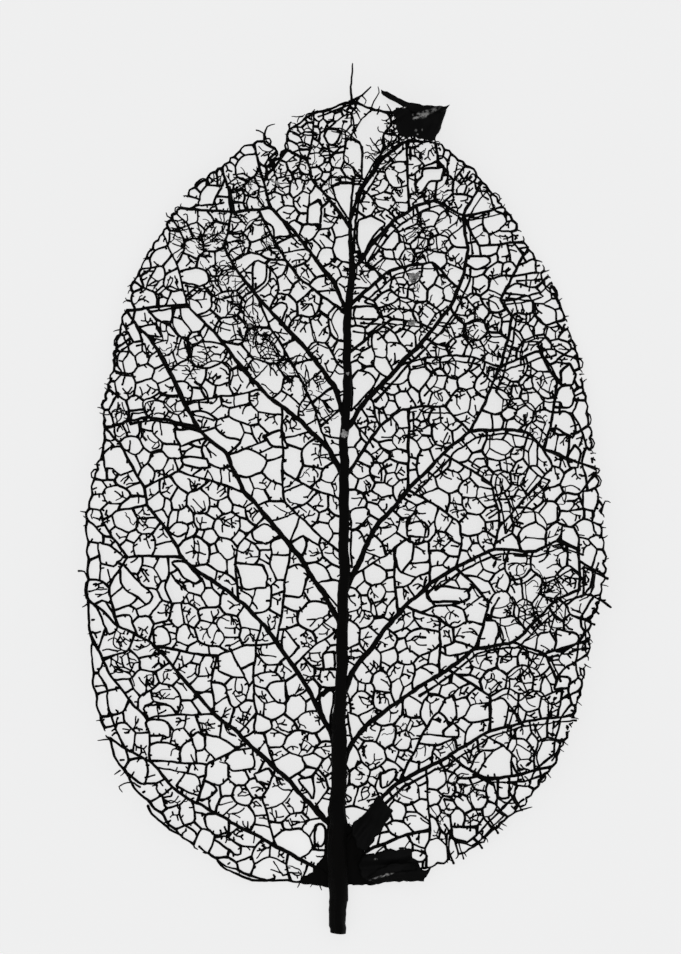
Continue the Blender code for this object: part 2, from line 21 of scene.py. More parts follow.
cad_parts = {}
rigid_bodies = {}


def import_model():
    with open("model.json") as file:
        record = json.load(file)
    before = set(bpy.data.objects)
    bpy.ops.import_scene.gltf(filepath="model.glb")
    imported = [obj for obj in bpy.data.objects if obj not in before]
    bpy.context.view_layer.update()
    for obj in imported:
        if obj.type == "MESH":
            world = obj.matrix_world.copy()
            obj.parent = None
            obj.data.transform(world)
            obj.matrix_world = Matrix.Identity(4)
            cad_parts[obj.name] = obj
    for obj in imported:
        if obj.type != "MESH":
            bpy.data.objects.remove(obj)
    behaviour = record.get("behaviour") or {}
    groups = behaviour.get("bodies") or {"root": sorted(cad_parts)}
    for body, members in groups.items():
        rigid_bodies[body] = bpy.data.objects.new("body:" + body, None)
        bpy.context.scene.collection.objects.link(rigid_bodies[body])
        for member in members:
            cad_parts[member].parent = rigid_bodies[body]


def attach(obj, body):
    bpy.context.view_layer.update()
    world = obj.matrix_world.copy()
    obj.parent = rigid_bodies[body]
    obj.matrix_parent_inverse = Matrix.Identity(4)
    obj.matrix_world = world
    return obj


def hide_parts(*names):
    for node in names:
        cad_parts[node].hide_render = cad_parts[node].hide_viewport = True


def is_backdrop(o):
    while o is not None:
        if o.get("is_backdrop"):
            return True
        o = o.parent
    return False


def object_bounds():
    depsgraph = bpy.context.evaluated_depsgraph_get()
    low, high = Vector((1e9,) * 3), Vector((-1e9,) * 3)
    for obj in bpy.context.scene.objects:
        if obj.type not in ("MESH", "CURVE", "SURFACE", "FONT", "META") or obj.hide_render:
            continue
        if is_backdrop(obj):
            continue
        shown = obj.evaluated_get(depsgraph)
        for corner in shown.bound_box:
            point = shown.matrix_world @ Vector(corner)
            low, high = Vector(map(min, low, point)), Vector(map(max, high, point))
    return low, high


started = time.time()
for old in list(bpy.data.objects):
    bpy.data.objects.remove(old)
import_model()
solid_box = [list(corner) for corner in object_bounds()]
print("solid box, mm:", [[round(value * 1000, 1) for value in corner] for corner in solid_box])

# %% [markdown]
# ## The drawing's measures
#
# Everything is drawn in millimetres from the point where the midrib enters the blade, x to the right and
# y towards the tip. The leaf is a shallow vault: it comes down to the table at its foot and near the
# widest part of either side, and stands a few millimetres clear of it in between. Each random draw and
# the noise start from one seed, so every run gives the same leaf.

# %% Measures
MM = 0.001
BLADE_WIDTH = 62.0
STALK_LENGTH = 5.8
ARCH = 6.0
EDGE_WAVE = 2.4
BOX_CENTRE = (0.849, 44.988)
STEP = 3.4
COARSE_EDGES = 1440
SEED = 11
noise.seed_set(SEED)


def leaf_height(x, y):
    """Height of the leaf's underside over the table."""
    across, along = x / (BLADE_WIDTH / 2), (y - 51) / 44
    radius = min(1.0, math.hypot(across, along))
    angle = math.atan2(along, across)
    return ARCH * (1 - radius ** 2) + EDGE_WAVE * (1 - math.sin(3 * angle)) / 2 * radius ** 2


def in_frame(x, y, z):
    """A point of the drawing, in the frame's metres."""
    return Vector((x - BOX_CENTRE[0], y - BOX_CENTRE[1], z)) * MM


# %% [markdown]
# ## Camera
#
# The photograph looks straight at the flat of the leaf from some way off, so the camera hangs over the
# middle of the picture with a long lens. A pixel of the photograph is 0.12 mm at the leaf.

# %% Camera
PICTURE_HEIGHT = 114.5
PICTURE_CENTRE = (0.3, 49.2)
LENS, SENSOR = 100.0, 36.0
LEAF_MIDDLE = 3.0

camera_data = bpy.data.cameras.new("camera")
camera_data.lens, camera_data.sensor_width = LENS, SENSOR
camera_data.clip_start, camera_data.clip_end = 0.01, 10
camera = bpy.data.objects.new("camera", camera_data)
camera.location = in_frame(*PICTURE_CENTRE, LEAF_MIDDLE + PICTURE_HEIGHT * LENS / SENSOR)
bpy.context.scene.collection.objects.link(camera)
bpy.context.scene.camera = camera
print("camera height, mm:", round(camera.location.z * 1000))

# %% [markdown]
# ## Light and table
#
# The photograph is lit from behind, so the meshes are as bright as the ground beside the leaf and the
# veins are nearly black. Here the leaf lies on a light table: its pale top glows evenly, which keeps
# shadows out of the meshes. A soft lamp straight above and pale surroundings add just enough to show the
# veins as round.

# %% Light and table
ROOM_COLOUR, ROOM_STRENGTH = (0.97, 0.98, 1.0, 1), 0.18
LAMP_STRENGTH, LAMP_SPREAD = 0.24, math.radians(12)

world = bpy.data.worlds.new("room")
world.use_nodes = True
world.node_tree.nodes["Background"].inputs["Color"].default_value = ROOM_COLOUR
world.node_tree.nodes["Background"].inputs["Strength"].default_value = ROOM_STRENGTH
bpy.context.scene.world = world

lamp_data = bpy.data.lights.new("lamp_above", "SUN")
lamp_data.energy, lamp_data.angle = LAMP_STRENGTH, LAMP_SPREAD
lamp = bpy.data.objects.new("lamp_above", lamp_data)
lamp.location = (0, 0, 0.5)
bpy.context.scene.collection.objects.link(lamp)

bpy.context.scene.view_settings.view_transform = "Standard"
bpy.context.scene.view_settings.look = "None"


# %% [markdown]
# ## Shader maths as Python
#
# A socket that is wrapped in this class can be added, multiplied or compared like a number, and each
# operation adds the Math node that does it. Every other node comes from one method, `Shade.node`.

# %% A wrapped socket
class Shade:
    def __init__(self, tree, socket):
        self.tree, self.socket = tree, socket

    @staticmethod
    def node(tree, kind, settings=None, inputs=None, output=0):
        made = tree.nodes.new(kind)
        for name, value in (settings or {}).items():
            setattr(made, name, value)
        for name, value in (inputs or {}).items():
            if isinstance(value, Shade):
                tree.links.new(value.socket, made.inputs[name])
            else:
                made.inputs[name].default_value = value
        return Shade(tree, made.outputs[output])

    def math(self, operation, first, second, clamp=False):
        return Shade.node(self.tree, "ShaderNodeMath", {"operation": operation, "use_clamp": clamp},
                          {0: first, 1: second})

    def __add__(self, other):
        return self.math("ADD", self, other)

    def __radd__(self, other):
        return self.math("ADD", other, self)

    def __sub__(self, other):
        return self.math("SUBTRACT", self, other)

    def __rsub__(self, other):
        return self.math("SUBTRACT", other, self)

    def __mul__(self, other):
        return self.math("MULTIPLY", self, other)

    def __rmul__(self, other):
        return self.math("MULTIPLY", other, self)

    def clamped(self):
        return self.math("MULTIPLY", self, 1.0, clamp=True)

    def mixed(self, dark, pale):
        """A colour between two, by this value."""
        return Shade.node(self.tree, "ShaderNodeMix", {"data_type": "RGBA"},
                          {"Factor": self, "A": (*dark, 1), "B": (*pale, 1)}, "Result")


def new_material(name):
    material = bpy.data.materials.new(name)
    material.use_nodes = True
    tree = material.node_tree
    return material, tree, tree.nodes["Principled BSDF"]


def grain(tree, scale, detail=3.0, stretch=(1, 1, 1), roughness=0.55):
    """Noise over the piece's own coordinates, so it stays on the piece from every side."""
    place = Shade.node(tree, "ShaderNodeTexCoord", output="Object")
    place = Shade.node(tree, "ShaderNodeMapping", inputs={"Vector": place, "Scale": stretch})
    return Shade.node(tree, "ShaderNodeTexNoise", {"noise_dimensions": "3D"},
                      {"Vector": place, "Scale": scale, "Detail": detail, "Roughness": roughness})


def patch(tree, place, reach, turn=0.0):
    """One at a place of the drawing, fading to nothing at its reach; turned in the plane of the table."""
    here = Shade.node(tree, "ShaderNodeTexCoord", output="Object")
    size = (reach[0] * MM, reach[1] * MM, 1)
    fitted = {"Vector": here, "Location": in_frame(*place, 0), "Rotation": (0, 0, turn), "Scale": size}
    here = Shade.node(tree, "ShaderNodeMapping", {"vector_type": "TEXTURE"}, fitted)
    distance = Shade.node(tree, "ShaderNodeVectorMath", {"operation": "LENGTH"}, {0: here}, "Value")
    return (1 - distance).clamped()


def feed(tree, shader, colour=None, roughness=None, relief=None, distance=0.0001, strength=0.5):
    if colour is not None:
        tree.links.new(colour.socket, shader.inputs["Base Color"])
    if roughness is not None:
        tree.links.new(roughness.socket, shader.inputs["Roughness"])
    if relief is not None:
        bump = Shade.node(tree, "ShaderNodeBump", inputs={"Height": relief, "Distance": distance,
                                                          "Strength": strength})
        tree.links.new(bump.socket, shader.inputs["Normal"])


# %% [markdown]
# ## Finishes
#
# The veins are dry plant fibre, almost black, matt, with fine streaks along the midrib. The scraps of
# blade are as dark but smoother, with painted highlights in a few small spots on their folds, where they
# catch the lamp or let light through. The table is plain and pale.

# %% Vein and blade materials
# Painted highlights: pale spots painted into the blade scraps' colour, where the folds of the tip scrap
# catch the lamp and where light shows through along the flap at the foot. Each spot is a place, a reach, a
# turn and how strong it is.
PAINTED_HIGHLIGHT_SPOTS = [((10.35, 92.7), (0.8, 0.45), 0.5, 1.6), ((11.3, 93.1), (1.3, 0.3), 0.4, 0.6),
              ((9.35, 92.25), (0.5, 0.25), 0.3, 1.5), ((9.65, 92.75), (0.3, 0.22), 0.6, 1),
              ((9.05, 92.65), (0.2, 0.2), 0, 0.8), ((9.3, 90.75), (0.25, 0.2), 0.8, 0.7),
              ((9.55, 90.3), (0.16, 0.14), 0, 0.8), ((10.1, 90.9), (0.12, 0.3), 0, 0.5),
              ((5.9, 1.25), (1.1, 0.22), 0.3, 1.2), ((4.3, 0.7), (1.4, 0.14), 0.45, 0.5),
              ((4.55, 3.05), (0.28, 0.22), 0.4, 0.8)]

FIBRE_DARK, FIBRE_PALE = (0.0018, 0.0017, 0.0016), (0.010, 0.009, 0.008)
FINE_DARK, FINE_PALE = (0.0016, 0.0015, 0.0014), (0.008, 0.0074, 0.007)
# The blade's second, pale colour is the colour of its painted highlights.
BLADE_DARK, BLADE_HIGHLIGHT = (0.0012,) * 3, (0.8, 0.79, 0.77)
CRUMB_DARK, CRUMB_PALE = (0.12,) * 3, (1, 0.99, 0.97)
TABLE_DARK, TABLE_PALE = (0.79, 0.79, 0.785), (0.83, 0.83, 0.825)
TABLE_GLOW, TABLE_SIZE = 0.66, 4

fibre, tree, shader = new_material("dry_fibre")
streaks = grain(tree, 900, 4.0, (1, 0.12, 1))
patches = grain(tree, 160, 2.0)
mottle = (streaks * 0.7 + patches * 0.6 - 0.25).clamped()
feed(tree, shader, colour=mottle.mixed(FIBRE_DARK, FIBRE_PALE), roughness=patches * 0.2 + 0.65,
     relief=streaks, distance=0.00008, strength=0.6)
shader.inputs["Specular IOR Level"].default_value = 0.14

fine_fibre, tree, shader = new_material("fine_vein_fibre")
patches = grain(tree, 220, 2.0)
feed(tree, shader, colour=patches.mixed(FINE_DARK, FINE_PALE), roughness=patches * 0.2 + 0.7)
shader.inputs["Specular IOR Level"].default_value = 0.1

old_blade, tree, shader = new_material("old_blade")
wrinkles = grain(tree, 420, 5.0, (1, 0.6, 1), 0.65)
patches = grain(tree, 130, 2.0)
specks = grain(tree, 2600, 2.0)
# The painted highlight: the spots above, broken into specks, lighten the dark blade colour towards the pale
# one.
painted_highlight = sum((patch(tree, *spot) * share for *spot, share in PAINTED_HIGHLIGHT_SPOTS), start=0.0)
painted_highlight = (painted_highlight * (specks * 7 - 2.9)).clamped()
mottle = (wrinkles * 0.8 + patches * 0.5 - 0.3).clamped() * 0.012
feed(tree, shader, colour=(painted_highlight + mottle).clamped().mixed(BLADE_DARK, BLADE_HIGHLIGHT),
     roughness=0.66 - patches * 0.2, relief=wrinkles, distance=0.0002, strength=0.8)
shader.inputs["Specular IOR Level"].default_value = 0.16

crumb, tree, shader = new_material("pale_crumb")
patches = grain(tree, 1500)
flecks = (grain(tree, 5200, 2.0) * 9 - 3.1).clamped()
feed(tree, shader, colour=((patches * 4 - 1.2).clamped() * flecks).mixed(CRUMB_DARK, CRUMB_PALE),
     roughness=patches * 0.2 + 0.6)

table_top, tree, shader = new_material("table_top")
patches = grain(tree, 14)
feed(tree, shader, colour=patches.mixed(TABLE_DARK, TABLE_PALE), roughness=patches * 0.1 + 0.8)
shader.inputs["Specular IOR Level"].default_value = 0.1
shader.inputs["Emission Color"].default_value = (1, 1, 1, 1)
shader.inputs["Emission Strength"].default_value = TABLE_GLOW

# %% Table
bpy.ops.mesh.primitive_plane_add(size=TABLE_SIZE)
table = bpy.context.object
table.name = "table"
table.data.materials.append(table_top)
table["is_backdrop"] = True

# %% [markdown]
# ## The veins that are drawn
#
# The midrib, the side veins, the cords that loop them together near the edge, the stronger cross veins
# and the edge itself are read from the photograph under a grid of pixels, and turned into millimetres
# at 0.12 mm for a pixel. They are the same routes as in the solid model, so both keep one form. The
# last list holds the places that stay bare: x, y and a radius.

# %% Midrib and edge
MIDRIB_TAPER = [(-6, 1.9), (0, 2.4), (6, 2.2), (15, 1.8), (22, 1.5), (35, 1.3), (47, 1.2), (58, 1.05),
                (74, 0.85)]

MIDRIB = [(0, -0.1), (0, 4.4), (0, 10.4), (0.2, 20), (0.5, 28.4), (0.7, 36.8), (0.7, 46.4), (0.8, 54.8),
          (1.1, 62), (1.3, 68.6), (1.7, 74.6)]

MARGIN = [(0, -0.1), (-5.8, 0.4), (-10.6, 1.1), (-14.8, 3.2), (-19.6, 6.8), (-22.6, 10.1), (-25.6, 13.8),
          (-27.6, 17.9), (-29, 23), (-29.4, 28.4), (-29.9, 34.4), (-30, 39.2), (-30.2, 44), (-29.2, 48.8),
          (-28, 53), (-28.1, 57.2), (-27.1, 62), (-26, 67.8), (-24.6, 72.8), (-22.3, 76.7), (-19.9, 80.3),
          (-17.2, 84.1), (-13.9, 86.3), (-11.8, 88.4), (-9.1, 89.6), (-7.4, 88.2), (-7.9, 86.6),
          (-6.2, 88.3), (-5.8, 90.8), (-2.8, 93.1), (0.8, 94), (2.2, 94.1), (4.1, 93.4), (6, 93),
          (7.7, 93), (9.2, 89.6), (11.8, 89.3), (15.4, 86.6), (19.4, 82.4), (22.4, 77.6), (25.3, 73.3),
          (27.4, 68.3), (28.8, 63.5), (29.8, 58.4), (30.4, 52.4), (31.4, 46.4), (31.9, 40.4), (31.6, 35),
          (30.2, 32), (30, 27.8), (29, 23.6), (27.8, 19.4), (26, 15), (23.6, 11.6), (20.4, 8.3), (17, 5),
          (13.4, 3.1), (10.8, 2), (6.8, 1.8), (2.6, 0.6), (0, -0.1)]

# %% Side veins
SIDE_VEINS = {
    "left_1": [(0, 0.5), (-4.6, 3), (-9.1, 5.3), (-14.8, 8.6), (-19.9, 11.8), (-22.6, 15), (-25.9, 16.7),
               (-27.6, 17.9)],
    "left_2": [(0, 6), (-4, 10.4), (-10.8, 17.4), (-14.8, 20.8), (-17.8, 24.2), (-22.6, 29.6),
               (-26.4, 31.3),
               (-29.8, 34.4)],
    "left_3": [(0.1, 15), (-1.3, 19.4), (-3.6, 23.9), (-9.1, 31.8), (-11.2, 34.1), (-18.6, 39.5),
               (-20.4, 42.8),
               (-22.9, 45.8), (-23.3, 48), (-26.4, 53.4), (-28, 55.2)],
    "left_4": [(0.5, 29), (-1, 34.1), (-5.8, 41.3), (-11.2, 47.4), (-13.2, 51.8), (-16.8, 55.1),
               (-19, 59),
               (-21.6, 64.4), (-25.7, 69.2)],
    "left_5": [(0.7, 49), (-1, 52.4), (-4.6, 56), (-9.1, 59.6), (-14.8, 66.5), (-18, 69.8), (-19, 73.8),
               (-21.1, 78.5)],
    "left_6": [(0.8, 56), (-0.4, 59.9), (-6, 66.8), (-11.8, 73.4), (-13.6, 76.7), (-12.7, 81)],
    "left_7": [(1.3, 68.6), (-0.4, 72.2), (-3.1, 75.8), (-8, 81.4), (-12.7, 81), (-19, 81.8)],
    "left_8": [(1.4, 79.1), (-1, 82.4), (-3.1, 84.8), (-3.7, 87.2), (-3, 89.9), (-2.8, 93.1)],
    "right_1": [(0, 1.8), (3.8, 4.2), (11, 6.6), (16.4, 7.4), (22, 10.2)],
    "right_2": [(0, 3.6), (2.9, 7.8), (7.4, 12.4), (12.2, 14.9), (18.2, 18.7), (23, 19.9), (27.8, 20.6)],
    "right_3": [(0.1, 14), (1.7, 17.4), (4.1, 20), (13.2, 26.3), (16.4, 28.7), (20.9, 29.4),
                (26.6, 34.7), (31.6, 36.2)],
    "right_4": [(0.3, 22.4), (1.7, 25.8), (8, 33.8), (14, 38.4), (18.5, 40.6), (23.3, 40.4),
                (26.3, 41.4), (31.9, 39.2)],
    "right_5": [(0.7, 35), (2.2, 38.6), (5, 44), (8.4, 47.6), (15.8, 54.5), (22.8, 54.4), (24.8, 52.7),
                (30.7, 50.3)],
    "right_6": [(0.8, 49.4), (5, 55.2), (7.4, 57.1), (12.8, 57.5), (15.8, 54.5)],
    "right_7": [(0.9, 55), (3.8, 58.8), (13.4, 69.4), (15.6, 76.7), (15, 80.6), (17.3, 84.6)],
    "right_8": [(1.2, 64), (6.5, 67.9), (9.2, 67.8), (10.9, 66.6)],
    "right_9": [(1.4, 69.6), (6.2, 73.7), (11.3, 74.8), (14.1, 72)],
    "right_10": [(1.7, 73.8), (6.8, 80), (11.6, 82.4), (15, 80.9), (19.9, 81.8)],
    "strand_left": [(1.7, 74.6), (1.4, 79.1), (1.8, 84.8), (1.4, 91.4), (1.7, 94.1)],
    "strand_right": [(1.7, 74.6), (1.9, 79.9), (2.6, 83.6), (4.8, 87), (7.2, 89.1), (9.2, 89.9)],
}

# %% Loops and cross veins
LOOPS = [
    [(-14.8, 20.8), (-22.8, 20), (-22.6, 15)],
    [(-22.8, 20), (-27.1, 24.8), (-29.2, 29.6)],
    [(-18.6, 39.5), (-25.2, 39.6), (-27.6, 36), (-26.4, 31.3)],
    [(-25.2, 39.6), (-28.2, 44), (-23.3, 46.2)],
    [(-16.8, 55.1), (-22.6, 56.3), (-28.1, 55.2)],
    [(-18, 69.8), (-25.6, 69.5)],
    [(-8, 81.4), (-8.9, 84.8), (-10.2, 89)],
    [(-3.7, 87.2), (-6.2, 88.3), (-8.6, 84.4)],
    [(-12.7, 81), (-13.8, 86.3)],
    [(13.7, 15.5), (18.2, 12.7), (25.6, 14.3)],
    [(20.9, 29.4), (24.8, 28.1), (30, 29.6)],
    [(18.5, 40.6), (19.4, 43.2), (25.7, 50.6), (24.8, 52.7)],
    [(24.8, 52.7), (26.4, 60.8), (24.2, 64.2), (19.4, 62.5)],
    [(15.8, 54.5), (19.4, 62.5), (20.9, 68.5), (19.4, 70.4), (23.2, 76.9)],
    [(24.8, 28.2), (27, 23.6), (26.4, 20.5)],
    [(20.9, 68.5), (27, 70)],
    [(24.2, 64.2), (28.5, 66)],
    [(28.6, 40.6), (29.4, 34.4)],
    [(15, 80.9), (17, 77), (22.4, 78)],
]

CROSS_VEINS = [
    [(-10.6, 17), (-15.7, 14.5), (-16.7, 10.3)],
    [(-15.7, 14.5), (-22.6, 15)],
    [(-14.8, 20.8), (-14.5, 27.8), (-7.3, 29.4)],
    [(-14.5, 27.8), (-22, 28.9)],
    [(-6.4, 40.4), (-6.5, 33.8), (-7.3, 29.5)],
    [(-5.5, 26.8), (0.5, 31.8)],
    [(-11.8, 34.6), (-12, 41), (-8.4, 44.1)],
    [(-23.2, 48), (-19, 49.9), (-11.3, 47.2)],
    [(-13.2, 51.8), (-6.6, 54.7), (-6.4, 57.6)],
    [(-9.1, 59.6), (-13.9, 58.8), (-18.6, 58)],
    [(1.1, 69), (-4.6, 72.8), (-9.6, 81.2)],
    [(-1, 52.4), (-4.6, 61.1), (-11.8, 73.4)],
    [(0.7, 45.8), (-6.6, 50), (-6.6, 54.7)],
    [(0.7, 39.8), (-6.4, 46.4), (-6.6, 50)],
    [(-7.4, 14), (-10.1, 22.4), (-9.3, 31.8)],
    [(-7.4, 4.6), (-9.1, 10.4), (-7.6, 14)],
    [(14, 38.4), (14.4, 43.7), (8.6, 47.7)],
    [(10.7, 36), (10.7, 41.5), (6.7, 40.7), (7.2, 33)],
    [(12.8, 51.6), (18.2, 48.4), (19.2, 43.2)],
    [(12, 25.6), (11.8, 32.3), (8, 33.8)],
    [(16.4, 28.7), (17.9, 34.1), (14, 38.4)],
    [(18.2, 18.7), (18.2, 23), (12.8, 26)],
    [(14.4, 16.4), (12, 21.1), (7.4, 12.4)],
    [(8.4, 47.6), (8.4, 57.2)],
    [(7.2, 62.6), (13.4, 63.8), (19.4, 62.5)],
    [(8.4, 81.3), (8.2, 89.4)],
    [(11.9, 82.3), (12.4, 89)],
    [(11, 6.6), (10.8, 13.8)],
    [(1.6, 37.4), (6.7, 40.7)],
]

BARE = [(3.9, 88.2, 3.2), (27.4, 55.7, 1.6), (26.9, 29.6, 1.6), (19.4, 14.8, 2.0), (-14.2, 6.8, 1.2),
        (-23.9, 13.7, 1.4)]

# %% [markdown]
# ## The net as a drawing
#
# The net is a flat drawing of points, veins between two points, and the meshes that they enclose. A new
# vein always crosses one mesh, so nothing ever crosses anything else. Scattered cells drawn at random
# would be quicker, but they give meshes of one size that ignore the side veins. A leaf fills in its
# meshes in order, from thick veins to thin ones, and the rule here does the same.

# %% Helpers of the drawing
def pair(a, b):
    return (a, b) if a < b else (b, a)


def midrib_width(y):
    for (low, first), (high, second) in zip(MIDRIB_TAPER, MIDRIB_TAPER[1:]):
        if y <= high:
            return first + (second - first) * (max(y, low) - low) / (high - low)
    return MIDRIB_TAPER[-1][1]


def smooth_route(points, step):
    """Points about a step apart along a smooth curve through the drawn ones, which it keeps."""
    points = [Vector(point) for point in points]
    ends = [points[0] * 2 - points[1], *points, points[-1] * 2 - points[-2]]
    route = [points[0]]
    for before, start, end, after in zip(ends, ends[1:], ends[2:], ends[3:]):
        count = max(1, round((end - start).length / step))
        handles = (start + (end - before) / 6, end - (after - start) / 6)
        route.extend(interpolate_bezier(start, *handles, end, count + 1)[1:])
    return [Vector((point[0], point[1])) for point in route]


def ring_area(corners):
    return sum(a.x * b.y - a.y * b.x for a, b in zip(corners, corners[1:] + corners[:1])) / 2


# %% The main veins joined up
def nearest_on(point, points, edges):
    """The closest drawn point or edge: (distance, place, its point's number or None)."""
    best = (1e9, None, None)
    for number, other in enumerate(points):
        distance = (other - point).length
        if distance < best[0]:
            best = (distance, other, number)
    corner = best
    for a, b in edges:
        along = points[b] - points[a]
        t = min(1, max(0, (point - points[a]).dot(along) / along.length_squared))
        place = points[a] + along * t
        distance = (place - point).length
        if distance < best[0] - 1e-6:
            best = (distance, place, None)
    return corner if corner[0] < 0.7 else best


ROUTES = {"margin": MARGIN, "midrib": MIDRIB, **SIDE_VEINS,
          **{f"loop_{number}": route for number, route in enumerate(LOOPS)},
          **{f"cross_{number}": route for number, route in enumerate(CROSS_VEINS)}}
SOLID_WIDTHS = {"margin": 0.66, "loop": 0.72, "cross": 0.68}


def draw_main_veins():
    """Lays the routes out one after the other, each end brought onto the vein that it meets."""
    points, edges, veins = [], {}, {}
    for name, route in ROUTES.items():
        places = smooth_route(route, STEP)
        last = None
        for number, place in enumerate(places):
            reach = 1.5 if number in (0, len(places) - 1) else 0.8
            distance, spot, known = nearest_on(place, points, edges) if points else (9, None, None)
            if distance < reach and known is not None:
                here = known
            else:
                points.append(spot.copy() if distance < reach else place)
                here = len(points) - 1
            if last is not None and last != here:
                middle = (place + places[number - 1]) / 2
                width = SOLID_WIDTHS.get(name.split("_")[0], 1.0 - 0.3 * number / len(places))
                width = midrib_width(middle.y) if name == "midrib" else width
                width = max(width, 2.2 - middle.length * 0.35)
                if width > edges.get(pair(last, here), 0):
                    edges[pair(last, here)], veins[pair(last, here)] = width, name
            last = here
    return points, edges, veins


main_points, main_widths, main_veins = draw_main_veins()
print("main veins:", len(ROUTES), "routes,", len(main_widths), "parts")


# %% [markdown]
# ### Meshes and what may split them
#
# A new vein runs across a mesh the short way, near its middle, and lands either on a free bend of the old
# veins or between two forks. When a vein is added, each part remembers which vein it belongs to, because
# a thread is swept later along the whole vein and not along its parts.

